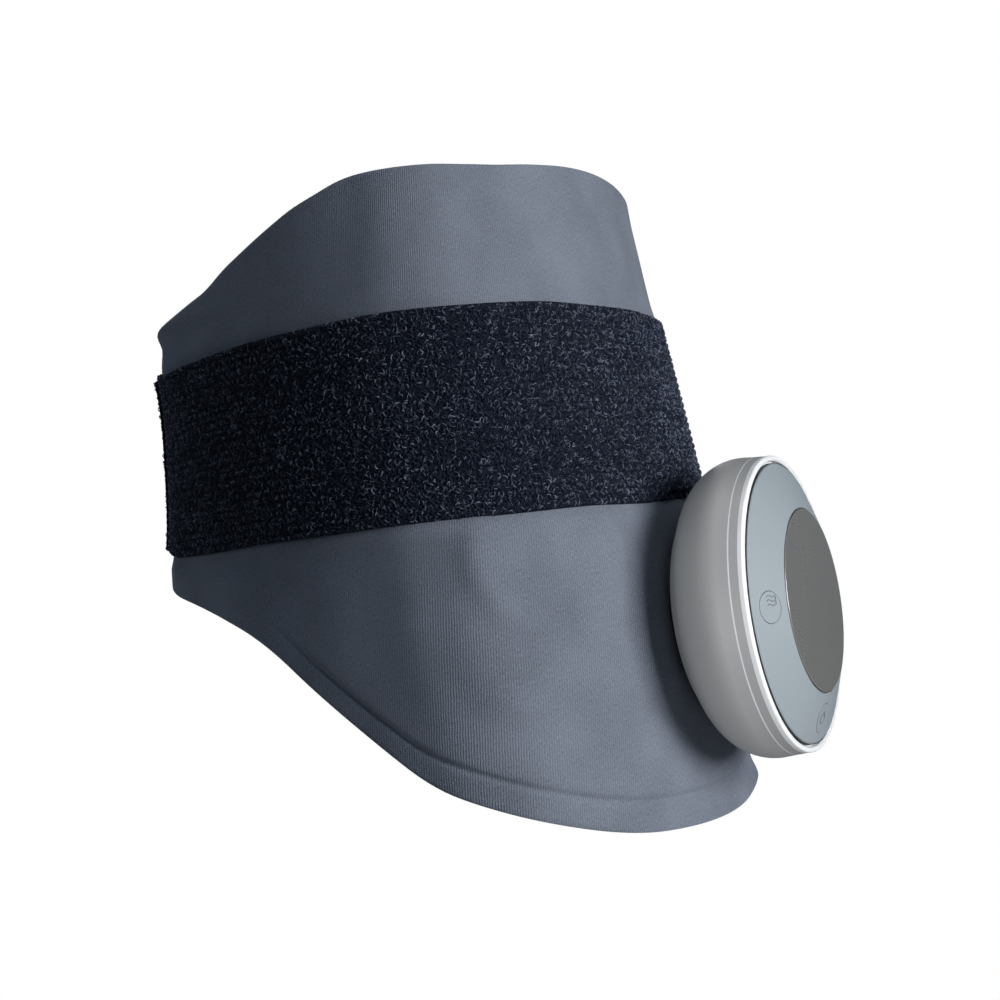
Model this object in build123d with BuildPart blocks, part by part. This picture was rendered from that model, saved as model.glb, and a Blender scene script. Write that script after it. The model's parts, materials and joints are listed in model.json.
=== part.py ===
"""A heated massager for an arm or a knee: a knit-faced foam wrap, a loop-pile strap and a round control pod.

The frame has +Z up along the limb and its origin on the limb's axis, at mid-height. The pod is at the
front, on -Y. The wrap opens at the back, on +Y, where the strap bridges the opening. The wing on the -X
side is the one that swings open.
"""

import os
from math import atan2, cos, degrees, radians, sin, sqrt

from build123d import *

os.makedirs("parts", exist_ok=True)

# Outline of the strap's outer face at the datum height: tangent arcs from the front round to the back
DATUM_Z = -11.0
FRONT_REACH = 73.7
FRONT_RADIUS = 135.0
FRONT_TURN = 14.5
CORNER_RADIUS = 51.0
CORNER_TURN = 75.0
SIDE_RADIUS = 116.0
SIDE_TURN = 50.0
BACK_TURN = 180 - FRONT_TURN - CORNER_TURN - SIDE_TURN

# How the outline changes with height: it widens downwards, less so near the bottom, and leans back at the top
FLARE = 0.094
BARREL = 0.0011
LEAN = 0.041
SECTION_HEIGHTS = (-92.0, -66.0, -40.0, DATUM_Z, 36.0, 88.0)

# Layers of the wrap, each from one depth to the next, measured out from the strap's outer face
STRAP_FACE = 0.0
FABRIC_FACE = -2.0
CORE_FACE = -2.8
LINING_FACE = -4.8
WRAP_INSIDE = -5.4
PAD_FACE = -5.8
PAD_COVER_FACE = -10.8
PAD_INSIDE = -11.4
CUP_FLOOR = -9.6
LID_INSIDE = -7.0
TAB_INSIDE = 1.4
TAB_FACE = 3.2
HOOK_INSIDE = 0.4

# Upper and lower edge of the wrap as seen from the side, as (y, z) corners with the radius of each bend
REACH = 100.0
TOP_EDGE = ((-REACH, 103.0), (-53.0, 80.2), (-20.0, 80.4), (27.0, 62.9), (REACH, 49.8))
TOP_BENDS = (14.0, 30.0, 40.0)
LOWER_EDGE = ((-REACH, -96.8), (-31.8, -63.3), (13.2, -27.3), (38.2, -17.7), (REACH, -6.0))
LOWER_BENDS = (60.0, 75.0, 130.0)
BACK_GAP = 30.0
WING_CORNER = 8.0

# The swinging wing starts at this plane
WING_SPLIT_Y = 20.0
SPLIT_GAP = 0.6

# Strap and its peel-off end
STRAP_WIDTH = 50.0
STRAP_LOW = -4.0
STRAP_FAR_END_X = 17.0
TAB_START_X = -6.0
HEM_WIDTH = 10.0
TAB_END_Y = 34.0
HOOK_START_Y = 73.0
HOOK_MARGIN = 3.0
TAB_CORNER = 12.0

# Heated pad behind the front
PAD_LOW = -51.0
PAD_HIGH = 44.0
PAD_BACK_Y = -31.0
PAD_CORNER = 11.0
FILM_MARGIN = 3.0
SENSOR_RADIUS = 3.0
SENSOR_DEPTH = 1.6
SENSOR_Z = 16.0
SENSOR_SINK = 0.6

# Two massage discs in the pad, one each side of the pod
DISC_TURN = 38.0
DISC_Z = -13.0
DISC_RADIUS = 20.5
DISC_WALL = 1.2
MOTOR_RADIUS = 5.5
MOTOR_THICKNESS = 2.0
LEAD_Z = -20.0
LEAD_WIDTH = 3.0
LEAD_START_X = 19.8
LEAD_END_X = 30.0
LEAD_OUTSIDE = -7.4
LEAD_INSIDE = -8.8

# Control pod: a round body on the front, tipped up a little; heights are measured out from its flat back
POD_BACK_Y = -76.2
POD_BACK_Z = -34.35
POD_TILT = 2.0
SHELL_WALL = 2.0
SHELL_FLAT_RADIUS = 22.0
SHELL_FOOT = (28.6, 2.6)
SHELL_FLANK = (35.4, 7.8)
SHELL_WAIST = (37.5, 16.3)
SHELL_RIM = (37.1, 19.65)
SEAM_TOP = 20.0
BEZEL_TOP = 22.05
RING_RADIUS = 36.9
RING_TOP = 23.55
RING_ROUND = 0.6
RING_CHAMFER = 0.3
FACE_RADIUS = 34.85
FACE_GAP = 0.65
FACE_EDGE = 23.75
WINDOW_HOLE = 22.95
FACE_CROWN = 28.65
FACE_THICKNESS = 1.6
FACE_CHAMFER = 0.3
WINDOW_RADIUS = 22.7
WINDOW_TOP = 28.7
FRAME_INSIDE = 33.0
FRAME_OUTSIDE = 34.9
FRAME_LOW = 20.7
FACE_SKIRT = 34.0
STEP_RADIUS = 36.3
STEP_LOW = 21.5
LEDGE_RADIUS = 21.3
LEDGE_LOW = 26.3
WINDOW_LOW = 27.3

# Press keys on the sloping face: angles are anticlockwise from +X as seen from the front
KEY_ANGLES = {"heat_key": 178.0, "power_key": 266.0, "massage_key": 2.0}
KEY_CENTRE_RADIUS = 28.9
KEY_RADIUS = 3.7
KEY_CLEARANCE = 0.15
KEY_CAP = 1.95
KEY_FLANGE_RADIUS = 4.3
KEY_FLANGE = 0.6
KEY_STEM_RADIUS = 1.4
KEY_STEM_END = 6.3
SWITCH_SIDE = 4.0
SWITCH_BODY = 1.1
SWITCH_BUTTON = 0.4
SWITCH_BUTTON_RADIUS = 1.0
SWITCH_DROP = 6.85

# Inside the pod
BOARD_RADIUS = 32.0
BOARD_LOW = 16.5
BOARD_THICKNESS = 1.2
CHASSIS_RADIUS = 34.9
CHASSIS_LOW = 15.0
CHASSIS_THICKNESS = 1.5
CHASSIS_OPENING = 24.0
BOSS_RADIUS = 2.6
BOSS_CIRCLE = 29.5
BOSS_LOW = 5.6
SCREW_RADIUS = 0.9
SCREW_HEAD_RADIUS = 1.9
SCREW_HEAD = 1.2
SCREW_LENGTH = 7.0
SCREW_HOLE = 8.0
BATTERY_SIZE = (48.0, 33.0, 8.0)
BATTERY_LOW = 6.3
BATTERY_CORNER = 2.0
BATTERY_PAD_SIZE = (40.0, 28.0)
BATTERY_PAD_LOW = 4.1
PORT_SIZE = (9.0, 7.4, 3.2)
PORT_MIDDLE = 14.8
PORT_MOUTH_Y = -36.6
PORT_NOTCH = (11.0, 15.0)
PORT_HOLE_START = 31.0
PORT_CLEARANCE = 0.25
PORT_WALL = 0.3
PORT_TONGUE = (6.6, 0.7)
PORT_TONGUE_CORNER = 0.3
DISPLAY_SIZE = (31.0, 17.0)
DISPLAY_TOP = 27.0
BUZZER_RADIUS = 4.5
BUZZER_HEIGHT = 2.0
BUZZER_Y = 19.0
LED_RING_INSIDE = 32.7
LED_RING_OUTSIDE = 34.4
LED_RING_LOW = 19.4
LED_RING_TOP = 20.0

# Magnets, contacts and the dock that the pod clips onto
MAGNET_CIRCLE = 12.0
MAGNET_RADIUS = 4.0
MAGNET_THICKNESS = 2.0
POD_MAGNET_LOW = 2.0
CONTACT_PITCH = 3.0
CONTACT_COUNT = 4
CONTACT_RADIUS = 1.1
CONTACT_THICKNESS = 0.8
PIN_RADIUS = 0.6
PIN_TIP = -0.12
PIN_LENGTH = 4.0
DOCK_GAP = 0.3
DOCK_RADIUS = 21.5
DOCK_FLANGE = 1.0
DOCK_BOSS_RADIUS = 17.8
DOCK_BOSS_END = -8.5
DOCK_OPENING = 18.1
BACKING_RADIUS = 24.0
BACKING_THICKNESS = 1.5
PAD_OPENING = 25.0
PAD_OPENING_DEPTH = 10.2
DOCK_SCREW_CIRCLE = 15.2
DOCK_SCREW_RADIUS = 1.1
DOCK_SCREW_HEAD_RADIUS = 2.0
DOCK_SCREW_HEAD = 1.0
DOCK_SCREW_END = -4.0
FIT = 0.05


def turn_point(angle):
    """The outline's outward direction after a given turn from the front, on the -X side."""
    return Vector(-sin(radians(angle)), -cos(radians(angle)))


def arc_centres():
    """The centres of the four arcs of the -X half, and the radius that closes the outline at the back."""
    front = Vector(0, FRONT_RADIUS - FRONT_REACH)
    corner = front + turn_point(FRONT_TURN) * (FRONT_RADIUS - CORNER_RADIUS)
    side = corner + turn_point(FRONT_TURN + CORNER_TURN) * (CORNER_RADIUS - SIDE_RADIUS)
    last = turn_point(180 - BACK_TURN)
    step = -side.X / last.X
    return (front, corner, side, side + last * step), SIDE_RADIUS - step


ARC_CENTRES, BACK_RADIUS = arc_centres()


def flare_at(height):
    """How far the outline stands outside its size at the datum height."""
    rise = height - DATUM_Z
    return -FLARE * rise - (BARREL * rise**2 if rise < 0 else 0)


def lean_at(height):
    """How far the outline's centre has moved back at a height."""
    return LEAN * (height - DATUM_Z)


def surface_point(turn, height, depth):
    """A point of the wrap on the -X side, after a turn from the front, at a height and a depth."""
    if turn < FRONT_TURN:
        centre, radius = ARC_CENTRES[0], FRONT_RADIUS
    elif turn < FRONT_TURN + CORNER_TURN:
        centre, radius = ARC_CENTRES[1], CORNER_RADIUS
    elif turn < FRONT_TURN + CORNER_TURN + SIDE_TURN:
        centre, radius = ARC_CENTRES[2], SIDE_RADIUS
    else:
        centre, radius = ARC_CENTRES[3], BACK_RADIUS
    place = centre + turn_point(turn) * (radius + flare_at(height) + depth)
    return Vector(place.X, place.Y + lean_at(height), height)


def surface_rise(turn, height):
    """How much the outward direction of the wrap points up, for one unit out, at a turn and a height."""
    fall = FLARE + (2 * BARREL * (height - DATUM_Z) if height < DATUM_Z else 0)
    return fall - LEAN * turn_point(turn).Y


def solid_form(depth):
    """The solid inside the wrap's surface at one depth, lofted through level outlines."""
    with BuildPart() as form:
        for height in SECTION_HEIGHTS:
            grow = flare_at(height) + depth
            with BuildSketch(Plane.XY.offset(height)):
                with BuildLine():
                    start = (0, lean_at(height) - FRONT_REACH - grow)
                    front = JernArc(start, (-1, 0), FRONT_RADIUS + grow, -FRONT_TURN)
                    corner = JernArc(front @ 1, front % 1, CORNER_RADIUS + grow, -CORNER_TURN)
                    side = JernArc(corner @ 1, corner % 1, SIDE_RADIUS + grow, -SIDE_TURN)
                    JernArc(side @ 1, side % 1, BACK_RADIUS + grow, -BACK_TURN)
                    mirror(about=Plane.YZ)
                make_face()
        loft()
    return form.part


FORMS = {
    depth: solid_form(depth)
    for depth in (STRAP_FACE, FABRIC_FACE, CORE_FACE, LINING_FACE, WRAP_INSIDE, PAD_FACE, PAD_COVER_FACE,
                  PAD_INSIDE, TAB_INSIDE, TAB_FACE, HOOK_INSIDE, LEAD_OUTSIDE, LEAD_INSIDE, CUP_FLOOR, LID_INSIDE)
}


def layer(outside, inside):
    """The full ring of wrap between two depths, before its edges are cut."""
    with BuildPart() as ring:
        add(FORMS[outside])
        add(FORMS[inside], mode=Mode.SUBTRACT)
    return ring.part


def last_run_height(edge, y):
    """The height of an edge's last straight run at a place along Y."""
    (start_y, start_z), (end_y, end_z) = edge[-2:]
    return start_z + (end_z - start_z) / (end_y - start_y) * (y - start_y)


def finish(piece, name):
    """Labels a finished piece and writes it."""
    piece.part.label = name
    export_step(piece.part, f"parts/{name}.step")
    print(f"{name}: {len(piece.part.solids())} solid(s), {piece.part.volume:.1f} mm3")


# Cutters that several pieces share
with BuildPart() as side_view:
    with BuildSketch(Plane.YZ.offset(-REACH)):
        with BuildLine():
            top = FilletPolyline(*TOP_EDGE, radius=list(TOP_BENDS))
            low = FilletPolyline(*LOWER_EDGE, radius=list(LOWER_BENDS))
            Line(top @ 0, low @ 0)
            Line(top @ 1, low @ 1)
        make_face()
    extrude(amount=2 * REACH)

# The wings' corners are rounded from where each edge passes this place on the back
corner_x = BACK_GAP / 2 + WING_CORNER
corner_y = ARC_CENTRES[3].Y + sqrt(BACK_RADIUS**2 - corner_x**2)
WING_TOP = last_run_height(TOP_EDGE, corner_y)
WING_LOW = last_run_height(LOWER_EDGE, corner_y)
BACK_PLANE = Plane(origin=(0, REACH, 0), x_dir=(1, 0, 0), z_dir=(0, -1, 0))
with BuildPart() as back_gap:
    with BuildSketch(BACK_PLANE):
        Rectangle(BACK_GAP, 2 * REACH)
        for side in (-1, 1):
            for corner_z in (WING_TOP, WING_LOW):
                with Locations((side * BACK_GAP / 2, corner_z)):
                    Rectangle(2 * WING_CORNER, 2 * WING_CORNER)
        for side in (-1, 1):
            with Locations((side * corner_x, (WING_TOP + WING_LOW) / 2)):
                RectangleRounded(2 * WING_CORNER, WING_TOP - WING_LOW, WING_CORNER - FIT, mode=Mode.SUBTRACT)
    extrude(amount=REACH / 2)

with BuildPart() as wing_room:
    with Locations((-REACH, WING_SPLIT_Y - SPLIT_GAP / 2, 0)):
        Box(2 * REACH, 2 * REACH, 3 * REACH, align=(Align.CENTER, Align.MIN, Align.CENTER))

with BuildPart() as not_wing:
    with Locations((0, WING_SPLIT_Y + SPLIT_GAP / 2, 0)):
        Box(4 * REACH, 4 * REACH, 3 * REACH, align=(Align.CENTER, Align.MAX, Align.CENTER))
    with Locations((REACH, 0, 0)):
        Box(2 * REACH, 4 * REACH, 3 * REACH)

with BuildPart() as strap_band:
    with Locations((0, 0, STRAP_LOW)):
        Box(4 * REACH, 4 * REACH, STRAP_WIDTH, align=(Align.CENTER, Align.CENTER, Align.MIN))

with BuildPart() as pad_room:
    with BuildSketch(Plane.YZ.offset(-REACH)):
        with Locations((PAD_BACK_Y, (PAD_LOW + PAD_HIGH) / 2)):
            RectangleRounded(2 * REACH, PAD_HIGH - PAD_LOW, PAD_CORNER, align=(Align.MAX, Align.CENTER))
    extrude(amount=2 * REACH)

with BuildPart() as film_room:
    with BuildSketch(Plane.YZ.offset(-REACH)):
        with Locations((PAD_BACK_Y - FILM_MARGIN, (PAD_LOW + PAD_HIGH) / 2)):
            RectangleRounded(
                2 * REACH,
                PAD_HIGH - PAD_LOW - 2 * FILM_MARGIN,
                PAD_CORNER - FILM_MARGIN,
                align=(Align.MAX, Align.CENTER),
            )
    extrude(amount=2 * REACH)

# Planes of the pod: level with its back, and cut through its axis
POD_AXIS = Vector(0, -cos(radians(POD_TILT)), sin(radians(POD_TILT)))
POD_ORIGIN = Vector(0, POD_BACK_Y, POD_BACK_Z)
POD = Plane(origin=POD_ORIGIN, x_dir=(1, 0, 0), z_dir=POD_AXIS)
POD_SECTION = Plane(origin=POD_ORIGIN, x_dir=(1, 0, 0), z_dir=(0, -sin(radians(POD_TILT)), -cos(radians(POD_TILT))))
POD_SPIN = Axis(POD_ORIGIN, POD_AXIS)

with BuildPart() as dock_hole:
    with BuildSketch(POD.offset(-REACH / 4)):
        Circle(DOCK_OPENING)
    extrude(amount=REACH / 2)

with BuildPart() as pad_hole:
    with BuildSketch(POD.offset(-PAD_OPENING_DEPTH)):
        Circle(PAD_OPENING)
    extrude(amount=REACH / 2)

# Wrap: front and far wing on one body, the swinging wing on another
WRAP_LAYERS = {
    "outer_fabric": (FABRIC_FACE, CORE_FACE),
    "foam_core": (CORE_FACE, LINING_FACE),
    "lining": (LINING_FACE, WRAP_INSIDE),
}
for name, depths in WRAP_LAYERS.items():
    whole = layer(*depths)
    with BuildPart() as front_piece:
        add(whole)
        add(side_view.part, mode=Mode.INTERSECT)
        add(back_gap.part, mode=Mode.SUBTRACT)
        add(wing_room.part, mode=Mode.SUBTRACT)
        add(dock_hole.part, mode=Mode.SUBTRACT)
    finish(front_piece, f"front_{name}")
    with BuildPart() as wing_piece:
        add(whole)
        add(side_view.part, mode=Mode.INTERSECT)
        add(back_gap.part, mode=Mode.SUBTRACT)
        add(not_wing.part, mode=Mode.SUBTRACT)
    finish(wing_piece, f"wing_{name}")

# Massage discs: a curved cup with a lid and a coin motor in each, set in the pad
pad_ring = layer(PAD_FACE, PAD_COVER_FACE)
room_ring = layer(PAD_FACE, CUP_FLOOR)
lid_ring = layer(PAD_FACE, LID_INSIDE)
disc_planes = {}
disc_bodies = {}
for name, side in (("near", 1), ("far", -1)):
    seat = surface_point(DISC_TURN, DISC_Z, PAD_FACE)
    out = turn_point(DISC_TURN)
    outward = (out.X * side, out.Y, surface_rise(DISC_TURN, DISC_Z))
    disc_planes[name] = Plane(
        origin=(seat.X * side, seat.Y, seat.Z), x_dir=(-out.Y, out.X * side, 0), z_dir=outward
    )
    with BuildPart() as disc_body:
        with BuildSketch(disc_planes[name].offset(-DISC_RADIUS)):
            Circle(DISC_RADIUS)
        extrude(amount=2 * DISC_RADIUS)
    disc_bodies[name] = disc_body.part
    with BuildPart() as disc_inside:
        with BuildSketch(disc_planes[name].offset(-DISC_RADIUS)):
            Circle(DISC_RADIUS - DISC_WALL)
        extrude(amount=2 * DISC_RADIUS)
    with BuildPart() as disc_room:
        add(room_ring)
        add(disc_inside.part, mode=Mode.INTERSECT)
    with BuildPart() as cup:
        add(pad_ring)
        add(disc_body.part, mode=Mode.INTERSECT)
        add(disc_room.part, mode=Mode.SUBTRACT)
    finish(cup, f"massage_cup_{name}")
    with BuildPart() as lid:
        with BuildSketch(disc_planes[name].offset(-DISC_RADIUS)):
            Circle(DISC_RADIUS - DISC_WALL - FIT)
        extrude(amount=2 * DISC_RADIUS)
        add(lid_ring, mode=Mode.INTERSECT)
    finish(lid, f"massage_lid_{name}")
    with BuildPart() as motor:
        with BuildSketch(disc_planes[name].offset(CUP_FLOOR - PAD_FACE + 2 * FIT)):
            Circle(MOTOR_RADIUS)
        extrude(amount=MOTOR_THICKNESS)
    finish(motor, f"massage_motor_{name}")

# Heated pad: film, foam with its pockets, cover, temperature sensor and the motors' leads
film_ring = layer(WRAP_INSIDE, PAD_FACE)
lead_ring = layer(LEAD_OUTSIDE, LEAD_INSIDE)
cover_ring = layer(PAD_COVER_FACE, PAD_INSIDE)
sensor_plane = Plane(origin=surface_point(0, SENSOR_Z, PAD_FACE - SENSOR_SINK), x_dir=(1, 0, 0), z_dir=(0, 1, 0))
with BuildPart() as heat_sensor:
    with BuildSketch(sensor_plane):
        Circle(SENSOR_RADIUS)
    extrude(amount=SENSOR_DEPTH)
finish(heat_sensor, "heat_sensor")

with BuildPart() as sensor_pocket:
    with BuildSketch(sensor_plane.offset(-SENSOR_DEPTH)):
        Circle(SENSOR_RADIUS + 2 * FIT)
    extrude(amount=2 * SENSOR_DEPTH + 2 * FIT)

with BuildPart() as heating_film:
    add(film_ring)
    add(film_room.part, mode=Mode.INTERSECT)
    add(pad_hole.part, mode=Mode.SUBTRACT)
finish(heating_film, "heating_film")

with BuildPart() as motor_leads:
    for side in (-1, 1):
        with Locations((side * (LEAD_START_X + LEAD_END_X) / 2, -REACH / 2, LEAD_Z)):
            Box(LEAD_END_X - LEAD_START_X, REACH, LEAD_WIDTH)
    add(lead_ring, mode=Mode.INTERSECT)
    for body in disc_bodies.values():
        add(body, mode=Mode.SUBTRACT)
    add(pad_hole.part, mode=Mode.SUBTRACT)
finish(motor_leads, "motor_leads")

with BuildPart() as pad_foam:
    add(pad_ring)
    add(pad_room.part, mode=Mode.INTERSECT)
    add(pad_hole.part, mode=Mode.SUBTRACT)
    for body in disc_bodies.values():
        add(body, mode=Mode.SUBTRACT)
    add(motor_leads.part, mode=Mode.SUBTRACT)
    add(sensor_pocket.part, mode=Mode.SUBTRACT)
finish(pad_foam, "pad_foam")

with BuildPart() as pad_cover:
    add(cover_ring)
    add(pad_room.part, mode=Mode.INTERSECT)
finish(pad_cover, "pad_cover")

# Strap: sewn round the front and the far wing, on over the swinging wing, then the peel-off end
strap_ring = layer(STRAP_FACE, FABRIC_FACE)
hem_ring = layer(TAB_FACE, STRAP_FACE)
tab_ring = layer(TAB_FACE, TAB_INSIDE)
hook_ring = layer(TAB_INSIDE, HOOK_INSIDE)
with BuildPart() as strap_front:
    add(strap_ring)
    add(strap_band.part, mode=Mode.INTERSECT)
    add(wing_room.part, mode=Mode.SUBTRACT)
    with Locations((STRAP_FAR_END_X, REACH / 2, 0)):
        Box(REACH / 2, REACH, 2 * REACH, align=(Align.MAX, Align.MIN, Align.CENTER), mode=Mode.SUBTRACT)
finish(strap_front, "strap_front")

HEM_EDGE_X = TAB_START_X - SPLIT_GAP / 2
with BuildPart() as strap_side:
    add(strap_ring)
    add(strap_band.part, mode=Mode.INTERSECT)
    add(not_wing.part, mode=Mode.SUBTRACT)
    with Locations((HEM_EDGE_X, 0, 0)):
        Box(REACH, 4 * REACH, 2 * REACH, align=(Align.MIN, Align.CENTER, Align.CENTER), mode=Mode.SUBTRACT)
finish(strap_side, "strap_side")

with BuildPart() as strap_hem:
    with Locations((HEM_EDGE_X - HEM_WIDTH / 2, REACH, STRAP_LOW + STRAP_WIDTH / 2)):
        Box(HEM_WIDTH, REACH, STRAP_WIDTH)
    add(hem_ring, mode=Mode.INTERSECT)
finish(strap_hem, "strap_hem")

TAB_PLANE = Plane.YZ.offset(TAB_START_X + SPLIT_GAP / 2)
with BuildPart() as strap_tab:
    with BuildSketch(TAB_PLANE):
        with Locations((TAB_END_Y, STRAP_LOW + STRAP_WIDTH / 2)):
            RectangleRounded(2 * REACH, STRAP_WIDTH, TAB_CORNER, align=(Align.MIN, Align.CENTER))
    extrude(amount=REACH)
    add(tab_ring, mode=Mode.INTERSECT)
finish(strap_tab, "strap_tab")

with BuildPart() as hook_patch:
    with BuildSketch(TAB_PLANE.offset(REACH / 5)):
        with Locations((TAB_END_Y + HOOK_MARGIN, STRAP_LOW + STRAP_WIDTH / 2)):
            RectangleRounded(
                HOOK_START_Y - TAB_END_Y - HOOK_MARGIN,
                STRAP_WIDTH - 2 * HOOK_MARGIN,
                TAB_CORNER - HOOK_MARGIN,
                align=(Align.MIN, Align.CENTER),
            )
    extrude(amount=REACH)
    add(hook_ring, mode=Mode.INTERSECT)
finish(hook_patch, "hook_patch")

# Dock: a plate through the wrap with magnets and spring pins, clamped by a backing plate and four screws
magnet_places = PolarLocations(MAGNET_CIRCLE, 4, start_angle=45)
dock_screw_places = PolarLocations(DOCK_SCREW_CIRCLE, 4)
contact_places = GridLocations(CONTACT_PITCH, 1, CONTACT_COUNT, 1)
dock_face = -DOCK_GAP
flange_back = dock_face - DOCK_FLANGE
with BuildPart() as dock_plate:
    with BuildSketch(POD.offset(dock_face)):
        Circle(DOCK_RADIUS)
    extrude(amount=-DOCK_FLANGE)
    with BuildSketch(POD.offset(flange_back)):
        Circle(DOCK_BOSS_RADIUS)
    extrude(amount=DOCK_BOSS_END - flange_back)
    fillet(dock_plate.edges().group_by(POD_SPIN)[-1], DOCK_FLANGE / 2)
    with BuildSketch(POD.offset(DOCK_BOSS_END)):
        with magnet_places:
            Circle(MAGNET_RADIUS + FIT)
        with dock_screw_places:
            Circle(DOCK_SCREW_RADIUS + FIT)
    extrude(amount=flange_back - 2 * FIT - DOCK_BOSS_END, mode=Mode.SUBTRACT)
    with BuildSketch(POD.offset(DOCK_BOSS_END)):
        with contact_places:
            Circle(PIN_RADIUS + FIT)
    extrude(amount=-DOCK_BOSS_END, mode=Mode.SUBTRACT)
finish(dock_plate, "dock_plate")

with BuildPart() as dock_magnets:
    with BuildSketch(POD.offset(flange_back - 3 * FIT)):
        with magnet_places:
            Circle(MAGNET_RADIUS)
    extrude(amount=-MAGNET_THICKNESS)
finish(dock_magnets, "dock_magnets")

with BuildPart() as dock_pins:
    with BuildSketch(POD.offset(PIN_TIP)):
        with contact_places:
            Circle(PIN_RADIUS)
    extrude(amount=-PIN_LENGTH)
    fillet(dock_pins.edges().group_by(POD_SPIN)[-1], PIN_RADIUS / 2)
finish(dock_pins, "dock_pins")

backing_inside = DOCK_BOSS_END - BACKING_THICKNESS
with BuildPart() as dock_backing:
    with BuildSketch(POD.offset(DOCK_BOSS_END)):
        Circle(BACKING_RADIUS)
        with dock_screw_places:
            Circle(DOCK_SCREW_RADIUS + FIT, mode=Mode.SUBTRACT)
    extrude(amount=-BACKING_THICKNESS)
    with BuildSketch(POD.offset(backing_inside)):
        with dock_screw_places:
            Circle(DOCK_SCREW_HEAD_RADIUS + FIT)
    extrude(amount=DOCK_SCREW_HEAD, mode=Mode.SUBTRACT)
finish(dock_backing, "dock_backing")

with BuildPart() as dock_screws:
    with BuildSketch(POD.offset(backing_inside)):
        with dock_screw_places:
            Circle(DOCK_SCREW_HEAD_RADIUS)
    extrude(amount=DOCK_SCREW_HEAD)
    with BuildSketch(POD.offset(backing_inside)):
        with dock_screw_places:
            Circle(DOCK_SCREW_RADIUS)
    extrude(amount=DOCK_SCREW_END - backing_inside)
finish(dock_screws, "dock_screws")

# Pod: rear shell with bosses, magnets and contacts, and the rings that close it
boss_places = PolarLocations(BOSS_CIRCLE, 4, start_angle=45)
port_plane = Plane(origin=POD.from_local_coords((0, 0, PORT_MIDDLE)), x_dir=(1, 0, 0), z_dir=-POD.y_dir)
with BuildPart() as rear_shell:
    with BuildSketch(POD_SECTION):
        with BuildLine():
            flat = Line((0, 0), (SHELL_FLAT_RADIUS, 0))
            TangentArc(flat @ 1, SHELL_FOOT, tangent=(1, 0))
            ThreePointArc(SHELL_FOOT, SHELL_FLANK, SHELL_WAIST)
            Polyline(SHELL_WAIST, SHELL_RIM, (0, SHELL_RIM[1]), (0, 0))
        make_face()
    revolve(axis=POD_SPIN)
    offset(amount=-SHELL_WALL, openings=rear_shell.faces().sort_by(POD_SPIN)[-1])
    with BuildSketch(POD.offset(CHASSIS_LOW)):
        with boss_places:
            Circle(BOSS_RADIUS)
    extrude(amount=BOSS_LOW - CHASSIS_LOW)
    with BuildSketch(POD.offset(CHASSIS_LOW)):
        with boss_places:
            Circle(SCREW_RADIUS + FIT)
    extrude(amount=-SCREW_HOLE, mode=Mode.SUBTRACT)
    with BuildSketch(POD.offset(-SHELL_WALL)):
        with contact_places:
            Circle(CONTACT_RADIUS + FIT)
    extrude(amount=3 * SHELL_WALL, mode=Mode.SUBTRACT)
    with BuildSketch(port_plane.offset(PORT_HOLE_START)):
        RectangleRounded(
            PORT_SIZE[0] + 2 * PORT_CLEARANCE, PORT_SIZE[2] + 2 * PORT_CLEARANCE, PORT_SIZE[2] / 2
        )
    extrude(amount=SHELL_WAIST[0], mode=Mode.SUBTRACT)
finish(rear_shell, "rear_shell")

with BuildPart() as pod_contacts:
    with BuildSketch(POD):
        with contact_places:
            Circle(CONTACT_RADIUS)
    extrude(amount=CONTACT_THICKNESS)
finish(pod_contacts, "pod_contacts")

with BuildPart() as pod_magnets:
    with BuildSketch(POD.offset(POD_MAGNET_LOW)):
        with magnet_places:
            Circle(MAGNET_RADIUS)
    extrude(amount=MAGNET_THICKNESS)
finish(pod_magnets, "pod_magnets")

with BuildPart() as battery_pad:
    with BuildSketch(POD.offset(BATTERY_PAD_LOW)):
        Rectangle(*BATTERY_PAD_SIZE)
    extrude(amount=BATTERY_LOW - BATTERY_PAD_LOW - FIT)
finish(battery_pad, "battery_pad")

with BuildPart() as battery:
    with BuildSketch(POD.offset(BATTERY_LOW)):
        Rectangle(BATTERY_SIZE[0], BATTERY_SIZE[1])
    extrude(amount=BATTERY_SIZE[2])
    fillet(battery.edges().filter_by(POD_SPIN), BATTERY_CORNER)
finish(battery, "battery")

with BuildPart() as chassis:
    with BuildSketch(POD.offset(CHASSIS_LOW)):
        Circle(CHASSIS_RADIUS)
        Circle(CHASSIS_OPENING, mode=Mode.SUBTRACT)
        with boss_places:
            Circle(SCREW_RADIUS + FIT, mode=Mode.SUBTRACT)
        with Locations((0, -CHASSIS_RADIUS)):
            Rectangle(*PORT_NOTCH, mode=Mode.SUBTRACT)
    extrude(amount=CHASSIS_THICKNESS)
finish(chassis, "chassis")

board_top = BOARD_LOW + BOARD_THICKNESS
with BuildPart() as main_board:
    with BuildSketch(POD.offset(BOARD_LOW)):
        Circle(BOARD_RADIUS)
        with boss_places:
            Circle(SCREW_RADIUS + FIT, mode=Mode.SUBTRACT)
    extrude(amount=BOARD_THICKNESS)
finish(main_board, "main_board")

with BuildPart() as pod_screws:
    with BuildSketch(POD.offset(board_top)):
        with boss_places:
            Circle(SCREW_HEAD_RADIUS)
    extrude(amount=SCREW_HEAD)
    with BuildSketch(POD.offset(board_top)):
        with boss_places:
            Circle(SCREW_RADIUS)
    extrude(amount=-SCREW_LENGTH)
finish(pod_screws, "pod_screws")

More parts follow.
